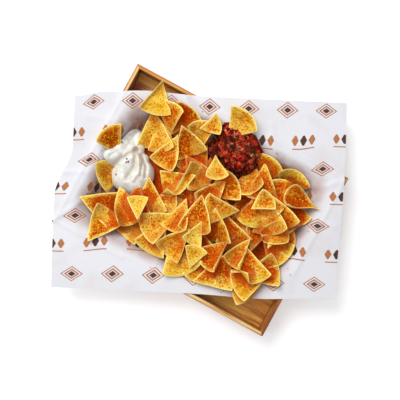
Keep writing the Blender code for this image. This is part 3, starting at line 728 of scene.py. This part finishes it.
crumb = {
    "seed": 23,
    "shapes": 4,
    "count": 46,
    "further": (12.0, 44.0),  # past the heap's core
    "size": (0.9, 2.6),
    "form": (1.0, 0.8, 0.5),
    "raised": 0.25,  # of its size
    "edge": 8.0,
    "dust": (0.1, 0.8),
    "dark": ((96, -103), (94, -107), (-60, 118), (-128, 62), (-150, -52)),
    "darkDust": 1.5,
}
# The heap from below: rows, how they lie, share with a corner or side curled up, size.
heapLayers = (
    (lowChips, "settled", 0.0, 1.0),
    (middleChips, "settled", 0.12, 1.0),
    (topChips, "settled", 0.6, 1.0),
    (steepChips, "steep", 0.0, 1.0),
    (smallChips, "settled", 0.0, 0.62),
)
chipFields = ("dust", "edge", "blister")
mapStep, mapX, mapY = 2.0, (-210.0, 210.0), (-160.0, 180.0)


def cornFinish():
    corn = Finish("friedCorn", Specular_IOR_Level=0.04)
    dust, edge, blister = corn.field("dust"), corn.field("edge"), corn.field("blister")
    broad, patches = corn.noise(16.0, 2.0, 0.5), corn.noise(7.0, 3.0, 0.65)
    crumbs, grain = corn.noise(2.4, 3.0, 0.6), corn.noise(0.9, 2.0, 0.6)
    freckles, bubbles = corn.noise(2.5, 2.0, 0.55), corn.cells(4.2)
    base = corn.mix((broad * 0.5 + freckles * 0.9).between(0.52, 0.84), chip["pale"], chip["yellow"])
    thick = (patches * 0.8 + crumbs * 0.2 + dust * 0.4).between(0.6, 1.1)
    orange = corn.mix(thick, chip["orange"], chip["deep"])
    seasoned = dust * 1.35 + (broad - 0.5) * 0.7 + (patches - 0.5) * 0.8 + (crumbs - 0.5) * 0.4
    spots = crumbs + dust * 0.2 + (grain - 0.5) * 0.4
    corn.paint(
        base,
        (seasoned.between(0.1, 0.95), orange),
        # paler towards the edge: partly the chip's own pale edge, partly a painted highlight
        ((edge + (patches - 0.5) * 9.0).between(0.5, 5.5, 0.5, 0.0), chip["pale"]),
        (freckles.between(0.36, 0.47, 0.85, 0.0), chip["freckle"]),
        (freckles.between(0.52, 0.6) * (dust * 0.7 + 0.3), orange),
        (spots.between(0.67, 0.8, 0.0, 0.8), chip["spot"]),
        ((freckles + dust * 0.04).between(0.64, 0.73, 0.0, 0.75), chip["spot"]),
        (bubbles.below(0.16, 0.07) * 0.5, chip["freckle"]),
        # pale rim line: partly the chip's own edge colour, partly a painted highlight
        ((edge + (crumbs - 0.5) * 2.4).between(0.2, 1.4, 0.95, 0.0), chip["rim"]),
        (blister.between(0.3, 0.95, 0.0, 0.4), chip["freckle"]),
        # painted shade where a chip lies deep among the others
        (corn.field("gap") * 0.75, chip["gap"]),
    )
    corn.rough(crumbs.between(0.3, 0.7, 0.5, 0.75))
    corn.relief(crumbs * 0.7 + grain * 0.3, 0.6)
    return corn.material


def chipNet(rows):  # rows of points from the tip to the round side
    share, turn = [], []
    for i in range(rows + 1):
        for j in range(i + 1):
            share.append(i / rows)
            turn.append(math.radians(60) * (j / i - 0.5 if i else 0.0))
    return np.array(share), np.array(turn)


def drawShape(draw, cup, folded, size):  # radius, angle, curls and folded corner of one chip
    radius = size * chip["radius"] * draw.uniform(*chip["radiusSpread"])
    widen = draw.uniform(*chip["angleSpread"])
    arch, twist = draw.uniform(*chip["archSpread"]), draw.uniform(*chip["twistSpread"])
    pick, start, turn = draw.random(), draw.uniform(*chip["foldFrom"]), draw.uniform(*chip["foldTurn"])
    way = draw.choice(list(chip["foldWays"]))
    fold = (way, start * chip["foldWays"][way] * radius, turn)
    return radius, widen, (chip["curl"] * cup, arch, twist), fold if pick < folded else None


def foldUp(points, way, start, turn):  # what lies past a line curls up and over
    heading = np.array(direction(way))
    past = np.maximum(points[:, :2] @ heading - start, 0)
    angle = np.minimum(past / chip["foldBend"], math.radians(turn))
    rest = past - chip["foldBend"] * angle
    along = chip["foldBend"] * np.sin(angle) + rest * np.cos(angle)
    points[:, :2] += (along - past)[:, None] * heading
    points[:, 2] += chip["foldBend"] * (1 - np.cos(angle)) + rest * np.sin(angle)


def chipSurface(net, shape):
    radius, widen, (cup, arch, twist), fold = shape
    share, turn = net
    x = radius * (share * np.cos(turn * widen) - chip["middle"])
    y = radius * share * np.sin(turn * widen)
    a, b = 2 * x / radius, 2 * y / radius
    points = np.stack([x, y, arch * (a * a - 0.3) + twist * a * b], axis=1)
    if fold:
        foldUp(points, *fold)
    y, z = points[:, 1].copy(), points[:, 2].copy()
    angle = y * 8 * cup / radius**2  # bent round the chip's length
    points[:, 1] = y * np.sinc(angle / math.pi) - z * np.sin(angle)
    points[:, 2] = z * np.cos(angle) + y * angle / 2 * np.sinc(angle / 2 / math.pi) ** 2 - 0.3 * cup
    return points


def chipFaces(rows):
    start = [i * (i + 1) // 2 for i in range(rows + 2)]
    top, rim = [], [start[i] for i in range(rows)]
    for i in range(rows):
        for j in range(i + 1):
            a, b, c = start[i] + j, start[i + 1] + j, start[i + 1] + j + 1
            top.append((a, b, c))
            if j < i:
                top.append((a, c, a + 1))
    rim += [start[rows] + j for j in range(rows)] + [start[i] + i for i in range(rows, 0, -1)]
    return top, rim


def chipShell(faces, rim, middle, normal, edge):  # gives the sheet its thickness and a round rim
    half, thinRim = chip["thickness"] / 2, chip["thinRim"]
    thin = half * (thinRim + (1 - thinRim) * smoothStep(edge / chip["rimRun"]))[:, None]
    middleRim = middle[rim]
    outward = middleRim - np.roll(middleRim, 1, axis=0) + np.roll(middleRim, -1, axis=0) - middleRim
    outward = np.cross(outward, normal[rim])
    outward /= np.linalg.norm(outward, axis=1)[:, None]
    belt = middleRim + chip["rimRounding"] * outward
    points = np.concatenate([middle + thin * normal, middle - thin * normal, belt])
    lower = len(middle)
    result = faces + [tuple(k + lower for k in reversed(one)) for one in faces]
    for i, a in enumerate(rim):
        j = (i + 1) % len(rim)
        b, onBelt, after = rim[j], 2 * lower + i, 2 * lower + j
        result += [(b, a, onBelt, after), (after, onBelt, a + lower, b + lower)]
    return points, result


class HeightMap:
    def __init__(self):
        self.x, self.y = np.meshgrid(np.arange(*mapX, mapStep), np.arange(*mapY, mapStep), indexing="ij")
        self.z = np.full_like(self.x, -100.0)  # nothing there yet

    def cells(self, points):
        i = np.rint((points[:, 0] - mapX[0]) / mapStep).astype(int)
        j = np.rint((points[:, 1] - mapY[0]) / mapStep).astype(int)
        return np.clip(i, 0, self.z.shape[0] - 1), np.clip(j, 0, self.z.shape[1] - 1)

    def at(self, points):
        return self.z[self.cells(points)]

    def cover(self, points):
        np.maximum.at(self.z, self.cells(points), points[:, 2])


def shadeGaps(piece, joined, around, gaps):  # painted shade: 0 for what lies on top, 1 for what is deep
    reach, start, depth = gaps
    points, high = np.concatenate(joined.points), around.z
    for axis in (0, 1):
        high = np.max([np.roll(high, step, axis) for step in range(-reach, reach + 1)], axis=0)
    setPointValues(piece, gap=smoothStep((high[around.cells(points)] - points[:, 2] - start) / depth))


def turnMatrix(heading, pitch, roll):
    turn = (Matrix.Rotation(math.radians(heading), 3, "Z") @ Matrix.Rotation(math.radians(-pitch), 3, "Y")
            @ Matrix.Rotation(math.radians(roll), 3, "X"))
    return np.array(turn)


laidNet = chipNet(chip["laidRows"])
shownNet = chipNet(chip["rows"])
shownFaces, shownRim = chipFaces(chip["rows"])


def liftOf(points, ground, pile, sunk, deepest):  # how far a chip has to rise to lie free
    half = chip["solidThickness"] / 2
    overGround = (ground.at(points) + clearance + half - points[:, 2]).max()
    overPile = pile.at(points) + half - points[:, 2]
    return max(overGround, np.quantile(overPile, 1 - sunk), overPile.max() - deepest)


def layChip(row, ground, pile, draw, how, folded, size):  # where a chip comes to lie
    x, y, heading, pitch, roll, cup = row[:6]
    sunk, deepest, tips = chip[how]
    shape = drawShape(draw, cup, folded, size)
    sheet = chipSurface(laidNet, shape)
    flat = sheet @ turnMatrix(heading, 0, 0).T + (x, y, 0)
    under = np.maximum(ground.at(flat), pile.at(flat))
    plane = np.column_stack([flat[:, :2], np.ones(len(flat))])
    (slopeX, slopeY, _), *_ = np.linalg.lstsq(plane, under, rcond=None)
    c, s = direction(heading)
    best = (pitch + math.degrees(math.atan(slopeX * c + slopeY * s)),
            roll + math.degrees(math.atan(slopeY * c - slopeX * s)))
    best = tuple(np.clip(best, -chip["steepest"], chip["steepest"]))
    for step in chip["tiltSteps"] if tips else ():
        trials = []
        for tip, lean in itertools.product((-2, -1, 0, 1, 2), repeat=2):
            tilt = (best[0] + tip * step, best[1] + lean * step)
            placed = sheet @ turnMatrix(heading, *tilt).T + (x, y, 0)
            high = placed[:, 2].mean() + liftOf(placed, ground, pile, sunk, deepest)
            off = (tilt[0] - pitch) ** 2 + (tilt[1] - roll) ** 2
            trials.append((high + chip["tiltCost"] * off, tilt))
        best = min(trials)[1]
    turn = turnMatrix(heading, *best)
    placed = sheet @ turn.T + (x, y, 0)
    lift = liftOf(placed, ground, pile, sunk, deepest)
    return shape, turn, np.array([x, y, lift]), placed + (0, 0, lift + chip["solidThickness"] / 2)


def shapeChip(row, shape, turn, place, seed):  # the chip with blisters and seasoning
    radius, widen = shape[:2]
    middle = chipSurface(shownNet, shape)
    share, angle = shownNet
    side = radius * share * np.sin(widen * (math.radians(30) - abs(angle)))
    edge = np.minimum(side, radius * (1 - share))
    flatX = share * np.cos(angle * widen) - chip["middle"]
    flatY = share * np.sin(angle * widen)
    offset = Vector((seed * 17.3, seed * 5.1, 0))
    waves, swell, ragged = (
        np.array([noise.noise(Vector((x, y, level)) / size + offset) for x, y, _ in middle])
        for level, size in ((0, chip["waveSize"]), (9, chip["blisterSize"]), (4, chip["raggedSize"])))
    start, rise = chip["blisterRise"]
    blister = smoothStep((swell - start) / rise) * smoothStep(edge / chip["blisterEdge"])
    middle[:, 2] += chip["wave"] * waves
    middle[:, :2] *= (1 + chip["ragged"] * ragged * (edge < 0.1))[:, None]
    net = np.zeros_like(middle)
    for face in shownFaces:
        a, b, c = middle[list(face)]
        net[list(face)] += np.cross(b - a, c - a)
    normal = net / np.linalg.norm(net, axis=1)[:, None]
    middle = middle + (chip["blister"] * blister)[:, None] * normal
    points, faces = chipShell(shownFaces, shownRim, middle, normal, edge)
    dust, *lean = row[6:]
    along, across = 2 * flatX, 2 * flatY
    if lean:
        c, s = direction(lean[0] - row[2])
        strength, half, rise = chip["dustLean"]
        field = strength * dust * smoothStep(half + rise * (along * c + across * s))
    else:
        thinning, spot = chip["dustRound"]
        field = dust * np.exp(-thinning * ((along - spot) ** 2 + across**2))
    left, gained, run = chip["dustEdge"]
    field = field * (left + gained * smoothStep(edge / run))
    below, bare = chip["dustBelow"] * field, np.zeros(len(shownRim))
    fields = ((field, below, field[shownRim]), (edge, edge, bare), (blister, blister, bare))
    return points @ turn.T + place, faces, *(np.concatenate(parts) for parts in fields)


def addChip(joined, row, seed, *settings):  # and gives its upper side
    *laid, upper = layChip(row, *settings)
    joined.add(*shapeChip(row, *laid, seed))
    return upper


def makeChips(finish):
    ground, pile = HeightMap(), HeightMap()
    ground.z = paperHeight(ground.x, ground.y)
    onCore = (coreReach(pile.x, pile.y) < 1) & (ground.z < core["foot"])
    pile.z = np.where(onCore, coreHeight(pile.x, pile.y), pile.z)
    bare = copy.deepcopy(pile)
    draw, seeds = random.Random(chip["seed"]), itertools.count()
    for name, (*row, size) in loneChips.items():
        lone = Joined(*chipFields)
        ground.cover(addChip(lone, row, next(seeds), ground, pile, draw, "apart", 0.0, size))
        lone.make(name.title().replace("_", ""), finish, "corn_chip", name)
    heap = Joined(*chipFields)
    for rows, *how in heapLayers:
        for row in rows:
            pile.cover(addChip(heap, row, next(seeds), ground, pile, draw, *how))
    shadeGaps(heap.make("chipHeap", finish, "corn_chip", "chips"), heap, pile, chip["gaps"])
    print(f"chips: {next(seeds)} laid")
    makeBedChips(finish, ground, bare, pile)


def makeBedChips(finish, ground, bare, pile):  # seen in the gaps between the others
    bed, step, shift = Joined(*chipFields), chip["bedStep"], chip["bedShift"]
    draw, seeds = random.Random(chip["bedSeed"]), itertools.count(200)
    pitch, roll = chip["bedTilt"]
    for x, y in itertools.product(np.arange(*chip["bedX"], step), np.arange(*chip["bedY"], step)):
        x, y = x + draw.uniform(-shift, shift) * step, y + draw.uniform(-shift, shift) * step
        row = (x, y, draw.uniform(0, 360), draw.uniform(-pitch, pitch), draw.uniform(-roll, roll),
               draw.uniform(*chip["bedCurl"]), draw.uniform(*chip["bedDust"]))
        salsaNear = radialReach(x, y, salsa["middle"], salsa["reach"]) < chip["bedOffSalsa"]
        creamNear = math.dist((x, y), cream["middle"]) < chip["bedOffCream"]
        if salsaNear or creamNear or coreReach(x, y) > chip["bedWithin"]:
            continue
        addChip(bed, row, next(seeds), ground, bare, draw, "settled", 0.0, chip["bedSize"])
    shadeGaps(bed.make("chipBed", finish, "corn_chip"), bed, pile, chip["gaps"])


def coreOutline(angle):
    dx, dy = abs(math.cos(angle)) / core["reach"][0], abs(math.sin(angle)) / core["reach"][1]
    reach = (dx ** core["squareness"] + dy ** core["squareness"]) ** (-1 / core["squareness"])
    while paperHeight(*onHeading(core["middle"], angle, reach)) > core["foot"]:
        reach -= 1.0
    return reach - core["inset"]


def makeCore(finish):
    def top(x, y, r):
        return coreHeight(x, y) - core["sunk"]

    def bottom(x, y):
        return clearOf(paperHeight, x, y) + clearance

    points, faces = moundNet(core["middle"], coreOutline, top, bottom, core["net"])
    piece = newPiece("heapCore", points, faces, finish)
    # the core is painted as lying wholly in shade
    setPointValues(piece, dust=0.9, edge=20.0, gap=1.0)
    print("heap core")


def makeCrumbs(finish):  # broken off, on the paper round the heap
    draw = random.Random(crumb["seed"])
    shapes = [choppedBit(draw) for _ in range(crumb["shapes"])]
    crumbs = Joined("dust", "edge")
    places = [(place, crumb["darkDust"]) for place in crumb["dark"]]
    for _ in range(crumb["count"]):
        angle, further = draw.uniform(0, 2 * math.pi), draw.uniform(*crumb["further"])
        place = onHeading(core["middle"], angle, coreOutline(angle) + further)
        places.append((place, draw.uniform(*crumb["dust"])))
    for (x, y), dust in places:
        size = draw.uniform(*crumb["size"])
        z = float(paperHeight(np.array(x), y) + ridges(x, y, paper["creases"])) + crumb["raised"] * size
        points, faces = draw.choice(shapes)
        turn = turned(draw, (0.2, 0.3, 0.9))
        points = (points * (np.array(crumb["form"]) * size)) @ turn + (x, y, z)
        crumbs.add(points, faces, dust, crumb["edge"])
    crumbs.make("crumbs", finish, "corn_chip")


# Salsa

salsa = {
    "middle": (11.0, 92.0),
    "reach": (39.0, 34.0),
    "top": 57.0,
    "crown": (2.6, 0.6),  # how full the mound is within and at its rim
    "waves": ((0.07, 3, 0.6), (0.05, 5, 2.1)),  # of the outline: height, count and start
    "lump": 1.6,
    "lumpSizes": (4.1, 3.7, 2.9),
    "bed": 24.0,
    "bedReach": (51.0, 46.0),
    "bedBlend": 0.5,
    "net": (30, 90),
    "bodySunk": 2.6,
    "seed": 3,
    "shapes": 8,
    # how many bits, their size and their thickness
    "bits": ((620, (4.0, 8.5), (2.4, 4.6)), (700, (1.8, 3.6), (1.2, 2.4))),
    "bitsInto": (0.4, 2.2),  # how far they stand in the sauce
    "bitsWithin": 0.985,  # of its reach
    "gaps": (2, 1.0, 6.0),  # reach in steps of the height map, start and depth of the painted shade
    "clump": 5.0,
    "clumpSize": 10.0,
    # heading, further out, width in degrees
    "tongues": ((-42, 11.0, 26), (208, 4.0, 30), (119, 2.5, 25)),
    "red": tone(162, 32, 10),
    "paleRed": tone(210, 68, 30),
    # painted shade on what lies deep among the bits
    "sunk": tone(48, 6, 0),
    "clumped": tone(62, 8, 0),
    # a bit's tone by its own number between 0 and 1, and from where to where it sets in
    "kinds": (
        (0.24, 0.26, tone(140, 18, 8)),
        (0.46, 0.48, tone(222, 88, 44)),
        (0.60, 0.62, tone(114, 12, 6)),
        (0.78, 0.80, tone(238, 128, 92)),
        (0.86, 0.88, tone(72, 10, 0)),
        (0.93, 0.94, tone(30, 48, 12)),  # herbs
        (0.985, 0.99, tone(206, 140, 104)),  # onion
    ),
}


def salsaOutline(angle):
    uneven = sum((high * math.sin(count * angle + start) for high, count, start in salsa["waves"]), 1)
    reach = uneven / math.hypot(math.cos(angle) / salsa["reach"][0], math.sin(angle) / salsa["reach"][1])
    return reach + furtherOut(angle, salsa["tongues"])


def salsaTop(x, y, r):
    sizeX, sizeY, slanting = salsa["lumpSizes"]
    lumps = salsa["lump"] * (np.sin(x / sizeX + 1) * np.sin(y / sizeY) + 0.7 * np.sin((x + y) / slanting))
    bed = np.maximum(salsa["bed"], paperHeight(x, y)) + toppingEdge
    within, rim = salsa["crown"]
    crown = np.clip(1 - r**within, 0, 1) ** rim
    return bed + (salsa["top"] - bed) * crown + lumps * np.clip(1 - r, 0, 1) ** 0.4


def salsaFinish():
    wet = Finish("choppedSalsa", Roughness=0.3, Specular_IOR_Level=0.08)
    kind = wet.field("kind")
    patches, clumps = wet.noise(2.6, 3.0, 0.6), wet.noise(9.0, 2.0)
    kinds = [(kind.between(start, end), shade) for start, end, shade in salsa["kinds"]]
    wet.paint(salsa["red"], (patches.between(0.3, 0.7), salsa["paleRed"]), *kinds,
              (clumps.between(0.5, 0.66, 0.0, 0.6), salsa["clumped"]),
              # painted shade on the sauce and bits deep among the others
              (wet.field("gap") * 0.75, salsa["sunk"]))
    wet.relief(patches, 0.6)
    return wet.material


def turned(draw, axis):  # by a random angle
    return np.array(Matrix.Rotation(draw.uniform(0, 6.3), 3, axis)).T


def choppedBit(draw):  # an uneven little block with rounded edges
    shape = bmesh.new()
    bmesh.ops.create_cube(shape, size=1.0)
    bmesh.ops.bevel(shape, geom=shape.edges[:], offset=0.3, segments=2, affect="EDGES")
    for vertex in shape.verts:
        vertex.co *= draw.uniform(0.88, 1.1)
    points = np.array([v.co for v in shape.verts])
    faces = [tuple(v.index for v in face.verts) for face in shape.faces]
    shape.free()
    return points, faces


def makeSalsa():
    def top(x, y, r):
        return salsaTop(x, y, r) - salsa["bodySunk"]

    finish = salsaFinish()
    points, faces = moundNet(salsa["middle"], salsaOutline, top, toppingBed, salsa["net"])
    sauce = newPiece("salsaSauce", points, faces, finish, "salsa")
    # the sauce under the bits is painted mostly in shade
    setPointValues(sauce, kind=0.4, gap=0.9)
    draw = random.Random(salsa["seed"])
    shapes = [choppedBit(draw) for _ in range(salsa["shapes"])]
    bits = Joined("kind")
    for count, sizes, depths in salsa["bits"]:
        for _ in range(count):
            angle, r = draw.uniform(0, 2 * math.pi), math.sqrt(draw.random()) * salsa["bitsWithin"]
            x, y = onHeading(salsa["middle"], angle, salsaOutline(angle) * r)
            clump = salsa["clump"] * noise.noise(Vector((x, y, 0)) / salsa["clumpSize"]) * (1 - r**3)
            z = float(salsaTop(np.array(x), np.array(y), r)) + clump - draw.uniform(*salsa["bitsInto"])
            size = np.array([draw.uniform(*sizes), draw.uniform(*sizes), draw.uniform(*depths)])
            points, faces = draw.choice(shapes)
            turn = np.array(Matrix.Rotation(draw.uniform(0, 6.3), 3, "Z")
                            @ Matrix.Rotation(draw.uniform(-0.6, 0.6), 3, "X"))
            bits.add((points * size) @ turn.T + (x, y, z), faces, draw.random())
    around = HeightMap()
    around.cover(np.concatenate(bits.points))
    shadeGaps(bits.make("salsaBits", finish, "salsa"), bits, around, salsa["gaps"])


# Sour cream

cream = {
    "middle": (-116.0, 0.0),
    "reach": 33.0,
    # heading, further out, width in degrees
    "tongues": ((112, 19.0, 24), (72, -10.0, 18), (36, -8.0, 20), (-56, 16.0, 50), (-108, 5.0, 26),
                (190, 12.0, 17), (217, -5.0, 12), (150, 3.0, 14)),
    # middle, reach along x and y, height, squareness
    "bumps": (
        (-107.5, -17.0, 34.0, 34.0, 18.0, 4),
        (-118.0, 12.0, 16.0, 16.0, 9.0, 2),
        (-145.0, -2.0, 15.0, 20.0, 11.0, 3),
        (-133.0, 28.0, 17.0, 22.0, 7.0, 3),
        (-96.0, -8.0, 12.0, 16.0, 3.0, 2),
    ),
    # a groove's width, depth and course, or a ridge's where the depth is negative
    "grooves": (
        (3.0, 5.0, (-121, 21), (-110, 18), (-95, 5), (-89, -10)),
        (3.4, 5.5, (-121, 19), (-115, 9), (-111, -5), (-112, -24)),
        (2.4, 2.6, (-117, 19), (-103, 7), (-95, -11)),
        (3.4, 5.0, (-141, -18), (-134, -4), (-127, 8), (-121, 20)),
        (3.0, -2.5, (-116, 17), (-107, 6), (-101, -9), (-103, -22)),
        (2.6, 1.6, (-150, -6), (-143, 8), (-131, 17), (-122, 23)),
        (2.6, 1.4, (-137, 44), (-131, 32), (-123, 24)),
        (5.0, -2.0, (-127, -6), (-124, -20), (-112, -31)),
    ),
    # groove depth at which the painted shade is full
    "deepGroove": 6.0,
    "base": 3.0,
    "lowest": 2.0,
    "rounding": 0.5,
    "pepperSeed": 11,
    "pepper": 150,
    "pepperWithin": 0.93,
    "grain": (0.35, 0.8),
    "bigPepper": ((-144.2, 19.9), (-158.5, 3.0), (-124.5, -3.0), (-129.6, -26.9), (-122.0, -1.0),
                  (-126.0, 1.5)),
    "bigGrain": 3.0,
    "grainForm": (1.0, 0.8, 0.6),
    "grainRaised": 0.15,  # of its size
    "bed": 20.0,
    "bedReach": (52.0, 52.0),
    "bedBlend": 0.4,
    "net": (60, 180),
    "white": tone(236, 237, 232),
    "shade": tone(218, 214, 203),
    "speck": tone(170, 156, 136),
    # painted shade in the grooves of the swirl
    "hollow": tone(204, 184, 160),
    "pepperTone": tone(30, 24, 20),
    "palePepper": tone(72, 56, 40),
}


def creamOutline(angle):
    return cream["reach"] + furtherOut(angle, cream["tongues"])


def creamTop(x, y, r):
    bed = np.maximum(cream["bed"], paperHeight(x, y)) + toppingEdge
    height = cream["base"]
    for middleX, middleY, reachX, reachY, high, squareness in cream["bumps"]:
        away = (abs(x - middleX) / reachX) ** squareness + (abs(y - middleY) / reachY) ** squareness
        height = height + high * np.exp(-away)
    height = height - ridges(x, y, cream["grooves"])
    return bed + np.maximum(height, cream["lowest"]) * np.clip(1 - r**5, 0, 1) ** cream["rounding"]


def creamFinish():
    white = Finish("sourCream", Roughness=0.34, Specular_IOR_Level=0.4,
                   Subsurface_Weight=0.12, Subsurface_Scale=0.003)
    soft, fine = white.noise(7.0, 3.0), white.noise(1.4, 2.0)
    white.paint(cream["white"], (soft.between(0.35, 0.7), cream["shade"]),
                (fine.between(0.62, 0.74, 0.0, 0.35), cream["speck"]),
                # painted shade in the grooves
                (white.field("groove") * 0.55, cream["hollow"]))
    white.rough(fine.between(0.3, 0.7, 0.28, 0.46))
    white.relief(soft + fine * 0.25, 0.5)
    return white.material


def makeCream():
    points, faces = moundNet(cream["middle"], creamOutline, creamTop, toppingBed, cream["net"])
    dollop = newPiece("sourCream", points, faces, creamFinish(), "sour_cream", 70)
    depth = ridges(points[:, 0], points[:, 1], cream["grooves"])
    # how deep each groove is, for the painted shade
    setPointValues(dollop, groove=smoothStep(depth / cream["deepGroove"]))
    print("sour cream")


def makePepper():
    draw = random.Random(cream["pepperSeed"])
    points, faces = choppedBit(draw)
    pepper = Joined()
    places = [(place, cream["bigGrain"]) for place in cream["bigPepper"]]
    for _ in range(cream["pepper"]):
        angle, r = draw.uniform(0, 2 * math.pi), cream["pepperWithin"] * math.sqrt(draw.random())
        place = onHeading(cream["middle"], angle, creamOutline(angle) * r)
        places.append((place, draw.uniform(*cream["grain"])))
    for (x, y), size in places:
        dx, dy = x - cream["middle"][0], y - cream["middle"][1]
        r = math.hypot(dx, dy) / creamOutline(math.atan2(dy, dx))
        z = float(creamTop(np.array(x), np.array(y), r)) + cream["grainRaised"] * size
        turn = turned(draw, (0.4, 0.6, 0.7))
        pepper.add((points * (np.array(cream["grainForm"]) * size)) @ turn + (x, y, z), faces)
    black = Finish("blackPepper", Roughness=0.8, Specular_IOR_Level=0.2)
    black.paint(cream["pepperTone"], (black.noise(0.8).between(0.4, 0.6), cream["palePepper"]))
    pepper.make("pepperGrains", black.material, "sour_cream")


# Floor, light and camera

stage = {
    "floor": (4.0, 0.0004),  # half its side, and how far it lies under the tray, in metres
    "floorTone": (0.86, 0.86, 0.86, 1),
    "skyTone": (0.97, 0.98, 1.0, 1),
    # heading in the tray's plan, height in degrees, size in metres, power in watts
    "lights": {
        "softBox": (150.0, 54.0, 1.4, 35.0),
        "window": (215.0, 42.0, 1.6, 7.0),
        "ceiling": (0.0, 90.0, 1.6, 7.0),
    },
    "lightDistance": 2.2,
    "skyStrength": 0.36,
    "floorGlow": 0.36,
    "cameraHeight": 1.50,
    "cameraTurn": 28.6,
    "lens": 87.2,
}


def makeStage():
    scene, mesh = bpy.context.scene, bpy.data.meshes.new("floor")
    half, under = stage["floor"]
    corners = ((-half, -half), (half, -half), (half, half), (-half, half))
    mesh.from_pydata([(x, y, -under) for x, y in corners], [], [range(4)])
    paleFloor = Finish("paleFloor", Base_Color=stage["floorTone"], Roughness=0.9,
                       Emission_Color=(1, 1, 1, 1), Emission_Strength=stage["floorGlow"])
    mesh.materials.append(paleFloor.material)
    newObject("floor", mesh)
    world = bpy.data.worlds.new("studio")
    world.use_nodes = True
    sky = world.node_tree.nodes["Background"]
    sky.inputs["Color"].default_value = stage["skyTone"]
    sky.inputs["Strength"].default_value = stage["skyStrength"]
    scene.world = world
    for name, (heading, up, size, power) in stage["lights"].items():
        light = newObject(name, bpy.data.lights.new(name, "AREA"))
        light.data.shape = "DISK"
        light.data.size = size
        light.data.energy = power
        (alongX, alongY), (level, high) = direction(heading), direction(up)
        towards = Vector((alongX * level, alongY * level, high))
        light.location = towards * stage["lightDistance"]
        light.rotation_euler = towards.to_track_quat("Z", "Y").to_euler()
    camera = newObject("camera", bpy.data.cameras.new("camera"))
    camera.data.lens = stage["lens"]
    camera.location = (0, 0, stage["cameraHeight"])
    camera.rotation_euler = (0, 0, math.radians(stage["cameraTurn"]))
    scene.camera = camera
    scene.view_settings.view_transform = "Standard"
    print("floor, light and camera")


makeStage()
makeTray()
makePaper()
cornMaterial = cornFinish()
makeChips(cornMaterial)
makeCore(cornMaterial)
makeCrumbs(cornMaterial)
makeSalsa()
makeCream()
makePepper()
